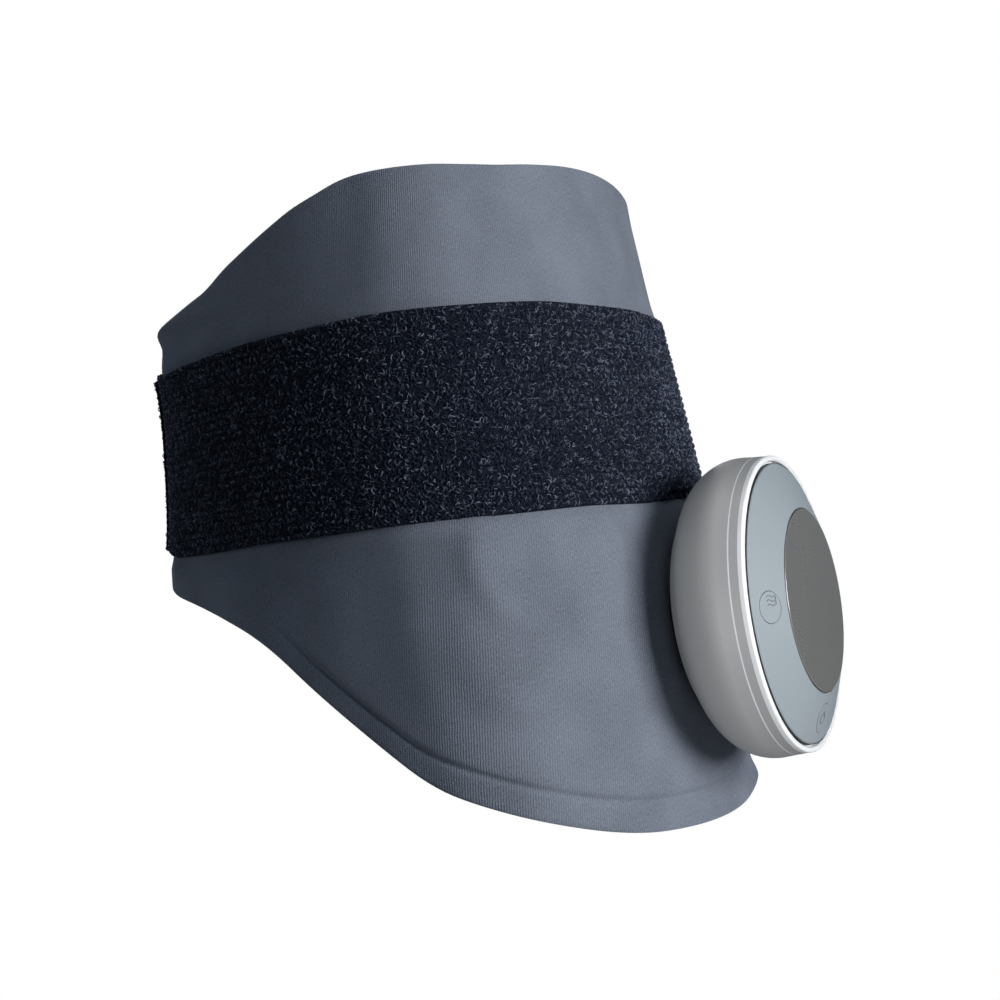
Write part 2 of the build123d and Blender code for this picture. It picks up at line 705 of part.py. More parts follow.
with BuildPart() as charge_port:
    with BuildSketch(port_plane.offset(-PORT_MOUTH_Y)):
        RectangleRounded(PORT_SIZE[0], PORT_SIZE[2], PORT_SIZE[2] / 2 - FIT)
    extrude(amount=-PORT_SIZE[1])
    with BuildSketch(port_plane.offset(-PORT_MOUTH_Y)):
        RectangleRounded(
            PORT_SIZE[0] - 2 * PORT_WALL, PORT_SIZE[2] - 2 * PORT_WALL, PORT_SIZE[2] / 2 - PORT_WALL - FIT
        )
        RectangleRounded(*PORT_TONGUE, PORT_TONGUE_CORNER, mode=Mode.SUBTRACT)
    extrude(amount=2 * PORT_WALL - PORT_SIZE[1], mode=Mode.SUBTRACT)
finish(charge_port, "charge_port")

with BuildPart() as buzzer:
    with BuildSketch(POD.offset(BOARD_LOW)):
        with Locations((0, BUZZER_Y)):
            Circle(BUZZER_RADIUS)
    extrude(amount=-BUZZER_HEIGHT)
finish(buzzer, "buzzer")

with BuildPart() as display_module:
    with BuildSketch(POD.offset(board_top)):
        Rectangle(*DISPLAY_SIZE)
    extrude(amount=DISPLAY_TOP - board_top)
finish(display_module, "display_module")


def spun_ring(*outline):
    """A ring about the pod's axis from its section's (radius, height) corners."""
    with BuildPart() as ring:
        with BuildSketch(POD_SECTION):
            with BuildLine():
                Polyline(*outline, close=True)
            make_face()
        revolve(axis=POD_SPIN)
    return ring


finish(
    spun_ring(
        (LED_RING_INSIDE, LED_RING_LOW),
        (LED_RING_OUTSIDE, LED_RING_LOW),
        (LED_RING_OUTSIDE, LED_RING_TOP),
        (LED_RING_INSIDE, LED_RING_TOP),
    ),
    "led_ring",
)
shell_mouth = SHELL_RIM[0] - SHELL_WALL
finish(
    spun_ring(
        (shell_mouth, SHELL_RIM[1]),
        (SHELL_RIM[0], SHELL_RIM[1]),
        (SHELL_RIM[0], SEAM_TOP),
        (shell_mouth, SEAM_TOP),
    ),
    "seam_ring",
)
finish(
    spun_ring(
        (shell_mouth, SEAM_TOP),
        (SHELL_RIM[0], SEAM_TOP),
        (RING_RADIUS, BEZEL_TOP),
        (STEP_RADIUS, BEZEL_TOP),
        (STEP_RADIUS, STEP_LOW),
        (shell_mouth, STEP_LOW),
    ),
    "front_bezel",
)

ring_mouth = FACE_RADIUS + FACE_GAP
with BuildPart() as light_ring:
    with BuildSketch(POD_SECTION):
        with BuildLine():
            lip = RING_RADIUS - RING_ROUND
            JernArc((RING_RADIUS, RING_TOP - RING_ROUND), (0, 1), RING_ROUND, 90)
            Polyline(
                (lip, RING_TOP),
                (ring_mouth + RING_CHAMFER, RING_TOP),
                (ring_mouth, RING_TOP - RING_CHAMFER),
                (ring_mouth, BEZEL_TOP),
                (FRAME_INSIDE, BEZEL_TOP),
                (FRAME_INSIDE, FRAME_LOW),
                (FRAME_OUTSIDE, FRAME_LOW),
                (FRAME_OUTSIDE, STEP_LOW),
                (STEP_RADIUS - FIT, STEP_LOW),
                (STEP_RADIUS - FIT, BEZEL_TOP),
                (RING_RADIUS, BEZEL_TOP),
                (RING_RADIUS, RING_TOP - RING_ROUND),
            )
        make_face()
    revolve(axis=POD_SPIN)
finish(light_ring, "light_ring")

# Face plate: a shallow cone with a ledge for the window and a hole square to its slope for each key
face_fall = FACE_CROWN - FACE_EDGE
face_slope = degrees(atan2(face_fall, FACE_RADIUS - WINDOW_HOLE))


def face_height(radius):
    """The height of the face plate's outside at a radius."""
    return FACE_EDGE + face_fall * (FACE_RADIUS - radius) / (FACE_RADIUS - WINDOW_HOLE)


def key_plane(angle):
    """The plane square to the face's slope at a key's centre, pointing out of the face."""
    spread = cos(radians(angle)) * POD.x_dir + sin(radians(angle)) * POD.y_dir
    around = cos(radians(angle)) * POD.y_dir - sin(radians(angle)) * POD.x_dir
    centre = POD_ORIGIN + spread * KEY_CENTRE_RADIUS + POD_AXIS * face_height(KEY_CENTRE_RADIUS)
    out = POD_AXIS * cos(radians(face_slope)) + spread * sin(radians(face_slope))
    return Plane(origin=centre, x_dir=around, z_dir=out)


key_planes = {name: key_plane(angle) for name, angle in KEY_ANGLES.items()}
under = FACE_THICKNESS / cos(radians(face_slope))
ledge_end = FACE_RADIUS - (LEDGE_LOW + under - FACE_EDGE) * (FACE_RADIUS - WINDOW_HOLE) / face_fall
with BuildPart() as face_plate:
    with BuildSketch(POD_SECTION):
        with BuildLine():
            Polyline(
                (FACE_RADIUS, BEZEL_TOP + FIT),
                (FACE_RADIUS, FACE_EDGE - FACE_CHAMFER),
                (FACE_RADIUS - FACE_CHAMFER, face_height(FACE_RADIUS - FACE_CHAMFER)),
                (WINDOW_HOLE + FACE_CHAMFER, face_height(WINDOW_HOLE + FACE_CHAMFER)),
                (WINDOW_HOLE, FACE_CROWN - FACE_CHAMFER),
                (WINDOW_HOLE, WINDOW_LOW),
                (LEDGE_RADIUS, WINDOW_LOW),
                (LEDGE_RADIUS, LEDGE_LOW),
                (ledge_end, LEDGE_LOW),
                (FACE_SKIRT, face_height(FACE_SKIRT) - under),
                (FACE_SKIRT, BEZEL_TOP + FIT),
                close=True,
            )
        make_face()
    revolve(axis=POD_SPIN)
    for plane in key_planes.values():
        with BuildSketch(plane.offset(-3 * FACE_THICKNESS)):
            Circle(KEY_RADIUS + KEY_CLEARANCE)
        extrude(amount=5 * FACE_THICKNESS, mode=Mode.SUBTRACT)
finish(face_plate, "face_plate")

with BuildPart() as display_window:
    with BuildSketch(POD.offset(WINDOW_LOW + FIT)):
        Circle(WINDOW_RADIUS)
    extrude(amount=WINDOW_TOP - WINDOW_LOW - FIT)
    chamfer(display_window.edges().group_by(POD_SPIN)[-1], FACE_CHAMFER / 2)
finish(display_window, "display_window")

# Press keys with a flange behind the face and a stem down to a switch on the board
for name, plane in key_planes.items():
    with BuildPart() as key:
        with BuildSketch(plane):
            Circle(KEY_RADIUS)
        extrude(amount=-KEY_CAP)
        with BuildSketch(plane.offset(-KEY_CAP)):
            Circle(KEY_FLANGE_RADIUS)
        extrude(amount=-KEY_FLANGE)
        with BuildSketch(plane.offset(-KEY_CAP)):
            Circle(KEY_STEM_RADIUS)
        extrude(amount=KEY_CAP - KEY_STEM_END)
    finish(key, name)
    print(f"{name}: centre {tuple(plane.origin)}, outward {tuple(plane.z_dir)}")

switch_radius = KEY_CENTRE_RADIUS - SWITCH_DROP * sin(radians(face_slope))
with BuildPart() as key_switches:
    for angle in KEY_ANGLES.values():
        place = switch_radius * Vector(cos(radians(angle)), sin(radians(angle)))
        with BuildSketch(POD.offset(board_top)):
            with Locations(place):
                Rectangle(SWITCH_SIDE, SWITCH_SIDE)
        extrude(amount=SWITCH_BODY)
        with BuildSketch(POD.offset(board_top + SWITCH_BODY)):
            with Locations(place):
                Circle(SWITCH_BUTTON_RADIUS)
        extrude(amount=SWITCH_BUTTON)
finish(key_switches, "key_switches")
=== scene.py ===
"""Looks of a heated massage wrap: a moulded knit sleeve, a loop-pile strap and a round control pod.

Lengths are millimetres in the fields of the classes, and become metres when a mesh is made. The frame is the
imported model's: +Z up along the limb, the pod on -Y, the opening on +Y, and the wing that swings on -X.
"""

from __future__ import annotations

import json
import logging
import math
from dataclasses import dataclass
from enum import Enum
from typing import Any

import bpy
import numpy as np
from mathutils import Matrix, Vector


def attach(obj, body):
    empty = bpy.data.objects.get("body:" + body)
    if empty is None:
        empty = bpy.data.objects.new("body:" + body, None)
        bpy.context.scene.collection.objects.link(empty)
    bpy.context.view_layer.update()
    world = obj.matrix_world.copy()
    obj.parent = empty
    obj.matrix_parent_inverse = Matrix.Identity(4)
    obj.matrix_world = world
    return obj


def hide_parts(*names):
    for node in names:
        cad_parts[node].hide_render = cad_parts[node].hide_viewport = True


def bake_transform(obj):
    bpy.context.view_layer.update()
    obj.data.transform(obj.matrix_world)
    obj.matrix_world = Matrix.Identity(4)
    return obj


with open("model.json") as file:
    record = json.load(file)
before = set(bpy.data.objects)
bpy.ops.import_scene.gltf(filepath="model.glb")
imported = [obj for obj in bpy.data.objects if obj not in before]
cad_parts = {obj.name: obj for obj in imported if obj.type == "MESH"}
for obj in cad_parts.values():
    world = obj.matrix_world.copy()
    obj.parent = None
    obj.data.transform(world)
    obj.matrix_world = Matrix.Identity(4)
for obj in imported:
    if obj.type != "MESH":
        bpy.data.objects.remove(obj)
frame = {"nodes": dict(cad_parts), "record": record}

MM = 0.001  # metres in a millimetre
TINY = 1e-6  # millimetres that count as nothing
LEAST_NORM = 1e-12  # keeps a normal without length from being divided by nothing
FABRIC_FACE = -2.0  # the depth of the sleeve's outer face
CLOTH_MAP = "cloth"
CLOTH_UNIT = 100.0  # millimetres of cloth to 1 on its flat map
SHADE = "thread_shade"
CREST = "crest"
SHARP_ANGLE = math.radians(50.0)  # an edge that turns further is shaded sharp
NOISE_SPAN = (0.3, 0.7)  # where most of a noise's values lie
LOG = logging.getLogger("massage_wrap")


class Slot(Enum):
    """The record's material slots that pieces made here take their finish from."""

    KNIT = "knit_fabric"
    FOAM = "foam"
    LINING = "lining"
    WEBBING = "loop_webbing"
    FACE = "face_silicone"


def smooth(value: np.ndarray) -> np.ndarray:
    """The smooth step from 0 to 1 of a value from 0 to 1."""
    inside = np.clip(value, 0.0, 1.0)
    return inside * inside * (3.0 - 2.0 * inside)


def band(value: np.ndarray, low: float, high: float, edge: float) -> np.ndarray:
    """How far a value is inside a range, with soft edges.

    Args:
        value: The values to test.
        low: Where the range starts.
        high: Where the range ends.
        edge: The width of each soft edge, centred on its end.

    Returns:
        1 inside the range, 0 outside it.
    """
    return smooth((value - low) / edge + 0.5) * smooth((high - value) / edge + 0.5)


def rounded_edge(y: np.ndarray, corners: tuple, bends: tuple) -> np.ndarray:
    """The height of a polyline with rounded corners, as the wrap's edges are seen from the side.

    Args:
        y: Places along the edge.
        corners: The polyline's (y, z) corners.
        bends: The radius at each inner corner.

    Returns:
        The edge's height at each place.
    """
    places, heights = zip(*corners)
    edge = np.interp(y, places, heights)
    for before, corner, after, radius in zip(corners, corners[1:], corners[2:], bends):
        come = Vector(corner) - Vector(before)
        go = Vector(after) - Vector(corner)
        come.normalize()
        go.normalize()
        turn = math.asin(come.x * go.y - come.y * go.x)
        side = math.copysign(1.0, turn)
        reach = radius * math.tan(abs(turn) / 2)
        start = Vector(corner) - come * reach
        end = Vector(corner) + go * reach
        centre = start + Vector((-come.y, come.x)) * radius * side
        arc = centre.y - side * np.sqrt(np.maximum(radius**2 - (y - centre.x) ** 2, 0.0))
        edge = np.where((y > start.x) & (y < end.x), arc, edge)
    return edge


@dataclass(frozen=True)
class WrapForm:
    """The wrap's surface: tangent arcs from the front round to the back, which change with height.

    A place on it is a run, measured round the outline from the front centre and negative towards -X, a height
    and a depth, measured out from the strap's outer face.
    """

    datum_z: float = -11.0
    front_reach: float = 73.7
    front: tuple[float, float] = (135.0, 14.5)
    corner: tuple[float, float] = (51.0, 75.0)
    side: tuple[float, float] = (116.0, 50.0)
    flare: float = 0.094
    barrel: float = 0.0011
    lean: float = 0.041
    top_edge: tuple = ((-100.0, 103.0), (-53.0, 80.2), (-20.0, 80.4), (27.0, 62.9), (100.0, 49.8))
    top_bends: tuple = (14.0, 30.0, 40.0)
    lower_edge: tuple = ((-100.0, -96.8), (-31.8, -63.3), (13.2, -27.3), (38.2, -17.7), (100.0, -6.0))
    lower_bends: tuple = (60.0, 75.0, 130.0)
    edge_guesses: tuple[float, float] = (-40.0, 70.0)
    edge_rounds: int = 12
    edge_depth: float = -3.0
    back_gap: float = 30.0
    gap_depth: float = -6.3
    wing_corner: float = 8.0
    strap_low: float = -4.0
    strap_high: float = 46.0
    wing_turn: float = 105.0
    wing_fade: float = 30.0
    bow_rise: float = 1.3
    bow_reach: float = 25.0
    bow_most: float = 1.1
    curl_rise: float = 1.3
    tip_rise: float = 1.4
    tip_turn: float = 120.0
    tip_fade: float = 14.0
    curl_z: float = 53.5
    curl_fade: float = 4.5
    foot_rise: float = 1.5
    foot_z: float = -75.0
    foot_fade: float = 8.0
    foot_span: tuple[float, float] = (30.0, 105.0)
    foot_edge: float = 30.0

    def arcs(self) -> tuple[np.ndarray, np.ndarray, np.ndarray]:
        """The outline's four arcs on the -X side.

        Returns:
            Each arc's centre, its radius, and its first turn in radians, with the last one's end after them.
        """
        starts = np.radians(np.cumsum([0.0, self.front[1], self.corner[1], self.side[1]]))
        centres = [np.array([0.0, self.front[0] - self.front_reach])]
        radii = [self.front[0], self.corner[0], self.side[0]]
        for index in (1, 2):
            out = np.array([-math.sin(starts[index]), -math.cos(starts[index])])
            centres.append(centres[-1] + out * (radii[index - 1] - radii[index]))
        out = np.array([-math.sin(starts[3]), -math.cos(starts[3])])
        step = -centres[2][0] / out[0]
        centres.append(centres[2] + out * step)
        radii.append(radii[2] - step)
        return np.array(centres), np.array(radii), np.append(starts, math.pi)

    def half_girth(self) -> float:
        """The outline's length from the front centre to the back centre, at the datum height."""
        _, radii, starts = self.arcs()
        return float(np.sum(radii * np.diff(starts)))

    def turn(self, run: np.ndarray) -> np.ndarray:
        """The turn from the front, in radians, at each run, without its side."""
        _, radii, starts = self.arcs()
        lengths = np.concatenate([[0.0], np.cumsum(radii * np.diff(starts))])
        return np.interp(np.abs(run), lengths, starts)

    def run_at(self, turn: Any) -> np.ndarray:
        """The run, on the +X side, at a turn or turns from the front in degrees."""
        _, radii, starts = self.arcs()
        lengths = np.concatenate([[0.0], np.cumsum(radii * np.diff(starts))])
        return np.interp(np.radians(turn), starts, lengths)

    def point(self, run: np.ndarray, height: np.ndarray, depth: np.ndarray) -> np.ndarray:
        """Points of the wrap, in millimetres.

        Args:
            run: Places round the outline; past the back centre they come round from the other side.
            height: Heights.
            depth: Depths out from the strap's outer face.

        Returns:
            An array with x, y and z last.
        """
        run, height, depth = np.broadcast_arrays(run, height, depth)
        half = self.half_girth()
        run = np.where(run > half, run - 2 * half, np.where(run < -half, run + 2 * half, run))
        centres, radii, starts = self.arcs()
        turn = self.turn(run)
        index = np.clip(np.searchsorted(starts, turn, side="right") - 1, 0, 3)
        rise = height - self.datum_z
        grow = -self.flare * rise - np.where(rise < 0, self.barrel * rise**2, 0.0)
        reach = radii[index] + grow + depth
        x = centres[index, 0] - np.sin(turn) * reach
        y = centres[index, 1] - np.cos(turn) * reach + self.lean * rise
        return np.stack([np.where(run > 0, -x, x), y, height], axis=-1)

    def edge_heights(self, run: np.ndarray) -> tuple[np.ndarray, np.ndarray]:
        """The heights of the lower and the upper edge at each run, with the wings' rounded corners."""
        low, top = (np.full_like(run, guess) for guess in self.edge_guesses)
        for _ in range(self.edge_rounds):
            under = self.point(run, low, self.edge_depth)[..., 1]
            low = rounded_edge(under, self.lower_edge, self.lower_bends)
            over = self.point(run, top, self.edge_depth)[..., 1]
            top = rounded_edge(over, self.top_edge, self.top_bends)
        left = np.clip(self.wing_end() - np.abs(run), 0.0, self.wing_corner)
        inset = self.wing_corner - np.sqrt(self.wing_corner**2 - (self.wing_corner - left) ** 2)
        return low + inset, top - inset

    def wing_lift(self, run: np.ndarray, height: np.ndarray) -> np.ndarray:
        """How far the wrap springs out: the wings' edges bow, their upper edge curls, and the foot flares.

        Args:
            run: Places round the outline.
            height: Heights.

        Returns:
            The lift in millimetres, none on the front above its foot.
        """
        wing = smooth((np.degrees(self.turn(run)) - self.wing_turn) / self.wing_fade)
        middle = (self.strap_low + self.strap_high) / 2
        bow = self.bow_rise * np.clip(np.abs(height - middle) / self.bow_reach, 0.0, self.bow_most) ** 3
        foot = self.foot_rise * band(run, *self.foot_span, self.foot_edge)
        foot = foot * smooth((self.foot_z - height) / self.foot_fade)
        tip = smooth((np.degrees(self.turn(run)) - self.tip_turn) / self.tip_fade)
        curl = (self.curl_rise + self.tip_rise * tip) * smooth((height - self.curl_z) / self.curl_fade)
        return wing * (bow + curl) + foot

    def wing_end(self) -> float:
        """The run at which the wings end, at the middle of their height."""
        _, radii, _ = self.arcs()
        return self.half_girth() - radii[3] * math.asin(self.back_gap / 2 / (radii[3] + self.gap_depth))


@dataclass(frozen=True)
class PodPlace:
    """Where the control pod sits: the middle of its flat back, and how far it tips up."""

    back: tuple[float, float, float] = (0.0, -76.2, -34.35)
    tilt: float = 2.0
    flange_back: float = -1.3
    face_edge: tuple[float, float] = (34.85, 23.75)
    face_crown: tuple[float, float] = (22.95, 28.65)
    key_circle: float = 28.9

    def frame(self) -> tuple[Vector, Vector, Vector]:
        """The pod's right, up and outward directions."""
        tilt = math.radians(self.tilt)
        above = Vector((0, math.sin(tilt), math.cos(tilt)))
        out = Vector((0, -math.cos(tilt), math.sin(tilt)))
        return Vector((1, 0, 0)), above, out

    def key_frame(self, angle: float) -> Matrix:
        """The frame of a key's top, upright as seen from the front, with its places in millimetres.

        Args:
            angle: The key's place round the face, anticlockwise from +X, in degrees.

        Returns:
            A matrix from the key's own (right, up, out) to the model.
        """
        right, above, out = self.frame()
        spread = right * math.cos(math.radians(angle)) + above * math.sin(math.radians(angle))
        width = self.face_edge[0] - self.face_crown[0]
        rise = self.face_crown[1] - self.face_edge[1]
        height = self.face_edge[1] + rise * (self.face_edge[0] - self.key_circle) / width
        normal = (out * width + spread * rise).normalized()
        upright = (above - normal * above.dot(normal)).normalized()
        matrix = Matrix((upright.cross(normal), upright, normal)).transposed().to_4x4()
        matrix.translation = Vector(self.back) + spread * self.key_circle + out * height
        return matrix


@dataclass(frozen=True)
class Relief:
    """What lifts or presses the wrap's faces: discs, pad, pressed edge, strap and the front's flares."""

    form: WrapForm
    pod: PodPlace
    disc_turn: float = 38.0
    disc_z: float = -13.0
    disc_radius: float = 21.0
    disc_edge: float = 6.0
    disc_rise: float = 0.55
    disc_flatness: float = 0.3
    pad_turn: float = 67.0
    pad_low: float = -51.0
    pad_high: float = 47.0
    pad_corner: float = 16.0
    pad_edge: float = 9.0
    pad_rise: float = 0.9
    groove_inset: float = 7.4
    groove_width: float = 0.85
    groove_depth: float = 0.6
    hem_press: float = 0.35
    hem_past: float = 1.5
    hem_fade: float = 3.0
    groove_turn: float = 92.0
    groove_fade: float = 16.0
    strap_press: float = 0.2
    strap_margin: float = 1.0
    strap_fade: float = 5.0
    dock_radius: float = 21.5
    dock_fade: float = 15.0
    dock_reach: float = 60.0
    ridge_line: tuple = (
        (-58.0, 62.0), (-43.0, 64.0), (-26.0, 66.5), (-5.0, 67.0), (45.0, 66.0), (61.0, 65.0), (77.0, 62.0),
    )
    ridge_rise: float = 2.0
    ridge_width: float = 14.0
    ridge_held: float = 0.8
    front_turn: float = 34.0
    waist_z: float = 50.0
    waist_press: float = 1.25
    waist_reach: float = 12.0
    brim_start: float = 72.0
    brim_reach: float = 12.0
    brim_rise: float = 1.3
    lip_start: float = -77.5
    lip_reach: float = 7.0
    lip_most: float = 1.2
    lip_power: float = 1.5
    lip_rise: float = 2.7
    lip_turn: float = 42.0
    ripple: float = 0.11
    ripple_run: float = 9.7
    ripple_sway: tuple[float, float] = (1.3, 17.0)
    ripple_height: float = 12.3
    ripple_drift: float = 31.0

    def at(self, run: np.ndarray, height: np.ndarray, low: np.ndarray, top: np.ndarray) -> np.ndarray:
        """How far the outer faces stand out at each place.

        Args:
            run: Places round the outline.
            height: Heights.
            low: The lower edge's height at each place.
            top: The upper edge's height at each place.

        Returns:
            The lift in millimetres, negative where the surface is pressed in.
        """
        form = self.form
        low_side, high_side = form.strap_low - self.strap_margin, form.strap_high + self.strap_margin
        under_strap = band(height, low_side, high_side, self.strap_fade)
        beside = np.abs(run) - form.run_at(self.disc_turn)
        away = np.hypot(beside, height - self.disc_z)
        disc = smooth((self.disc_radius + self.disc_edge / 2 - away) / self.disc_edge)
        plate = self.disc_rise + self.disc_flatness * beside**2 / (2 * form.corner[0])
        pad_run = form.run_at(self.pad_turn)
        mid, tall = (self.pad_low + self.pad_high) / 2, (self.pad_high - self.pad_low) / 2
        out_run = np.maximum(np.abs(run) - pad_run + self.pad_corner, 0.0)
        out_high = np.maximum(np.abs(height - mid) - tall + self.pad_corner, 0.0)
        past = np.hypot(out_run, out_high) - self.pad_corner
        pad = smooth(0.5 - past / self.pad_edge)
        lift = (self.pad_rise * pad + plate * disc) * (1 - under_strap)
        lift -= self.strap_press * under_strap
        inset = height - low
        turn = np.degrees(form.turn(run))
        pressed = self.groove_depth * np.exp(-(((inset - self.groove_inset) / self.groove_width) ** 2))
        pressed += self.hem_press * smooth((self.groove_inset + self.hem_past - inset) / self.hem_fade)
        lift -= pressed * (1 - smooth((turn - self.groove_turn) / self.groove_fade))
        ridge_heights, ridge_turns = zip(*self.ridge_line)
        ridge = np.abs(run) - form.run_at(np.interp(height, ridge_heights, ridge_turns))
        ridge = np.exp(-(np.abs(ridge / self.ridge_width) ** 3))
        lift += self.ridge_rise * ridge * (1 - self.ridge_held * under_strap)
        front = 1 - smooth(turn / self.front_turn)
        waist = np.exp(-(((height - self.waist_z) / self.waist_reach) ** 2))
        lift -= self.waist_press * front * waist * (1 - under_strap)
        lift += self.brim_rise * front * smooth((height - self.brim_start) / self.brim_reach)
        lip = np.clip((self.lip_start - height) / self.lip_reach, 0.0, self.lip_most) ** self.lip_power
        lift += self.lip_rise * lip * (1 - smooth(turn / self.lip_turn))
        sway = self.ripple_sway[0] * np.sin(height / self.ripple_sway[1])
        waves = np.sin(run / self.ripple_run + sway)
        waves = waves * np.sin(height / self.ripple_height + run / self.ripple_drift)
        lift += self.ripple * waves * (1 - under_strap)
        return self.clamp_to_dock(run, height, lift)

    def clamp_to_dock(self, run: np.ndarray, height: np.ndarray, lift: np.ndarray) -> np.ndarray:
        """The lift with the fabric drawn onto the back of the dock's flange, which clamps it."""
        _, above, out = self.pod.frame()
        face = self.form.point(run, height, FABRIC_FACE) - np.array(self.pod.back)
        need = self.pod.flange_back - face @ np.array(out)
        away = np.hypot(face[..., 0], face @ np.array(above))
        hold = (np.abs(run) < self.dock_reach) * (1 - smooth((away - self.dock_radius) / self.dock_fade))
        return lift + hold * (need - lift)


def grid_normals(points: np.ndarray) -> np.ndarray:
    """Unit normals of a grid of points, from the differences along its rows and columns."""
    across = np.gradient(points, axis=1)
    along = np.gradient(points, axis=0)
    normals = np.cross(across, along)
    return normals / np.maximum(np.linalg.norm(normals, axis=-1, keepdims=True), LEAST_NORM)


def mesh_object(name: str, mesh: bpy.types.Mesh | bpy.types.Curve) -> bpy.types.Object:
    """A scene object that holds a mesh or a curve."""
    piece = bpy.data.objects.new(name, mesh)
    bpy.context.scene.collection.objects.link(piece)
    return piece


def grid_faces(rows: int, cols: int) -> np.ndarray:
    """The faces of a grid of points, whose rows come one after another.

    Args:
        rows: How many rows the grid has.
        cols: How many points each row has.

    Returns:
        The numbers of the four corners of each face.
    """
    corner = (np.arange(rows - 1)[:, None] * cols + np.arange(cols - 1)[None, :]).ravel()
    return np.stack([corner, corner + 1, corner + cols + 1, corner + cols], axis=1)


def grid_shell(name: str, outer: np.ndarray, inner: np.ndarray, cloth: np.ndarray,
               columns: slice) -> bpy.types.Object:
    """A closed shell between two grids of points.

    Args:
        name: The new object's name.
        outer: The outer grid, rows by columns by 3, in millimetres.
        inner: The inner grid, of the same shape.
        cloth: The flat place of each grid point on the cloth, rows by columns by 2, in millimetres.
        columns: The columns to use, so that two pieces cut from one grid share their shading at the cut.

    Returns:
        The new object, shaded smooth with sharp rims.
    """
    normals = [grid_normals(outer)[:, columns], -grid_normals(inner)[:, columns]]
    outer, inner, cloth = outer[:, columns], inner[:, columns], cloth[:, columns]
    rows, cols = outer.shape[:2]
    points = np.concatenate([outer.reshape(-1, 3), inner.reshape(-1, 3)]) * MM
    face = grid_faces(rows, cols)
    back = face[:, ::-1] + rows * cols
    bottom, upper = np.arange(cols), np.arange(cols) + (rows - 1) * cols
    left, right = np.arange(rows) * cols, np.arange(rows) * cols + cols - 1
    rims = []
    for line, flip in ((bottom, False), (upper, True), (left, True), (right, False)):
        rim = np.stack([line[:-1], line[:-1] + rows * cols, line[1:] + rows * cols, line[1:]], axis=1)
        rims.append(rim[:, ::-1] if flip else rim)
    faces = np.concatenate([face, back, *rims])
    mesh = bpy.data.meshes.new(name)
    mesh.from_pydata(points.tolist(), [], faces.tolist())
    flat = np.concatenate([cloth.reshape(-1, 2), cloth.reshape(-1, 2)]) / CLOTH_UNIT
    layer = mesh.uv_layers.new(name=CLOTH_MAP)
    index = np.empty(len(mesh.loops), np.int32)
    mesh.loops.foreach_get("vertex_index", index)
    layer.data.foreach_set("uv", flat[index].astype(np.float32).ravel())
    mesh.update()
    middle = len(face) // 2
    if Vector(mesh.polygons[middle].normal).dot(Vector(normals[0].reshape(-1, 3)[face[middle][0]])) < 0:
        mesh.flip_normals()
    mesh.shade_smooth()
    mesh.set_sharp_from_angle(angle=SHARP_ANGLE)
    return mesh_object(name, mesh)


def dress(piece: bpy.types.Object, material: bpy.types.Material) -> bpy.types.Object:
    """Gives a piece one material in place of those that it has."""
    piece.data.materials.clear()
    piece.data.materials.append(material)
    return piece


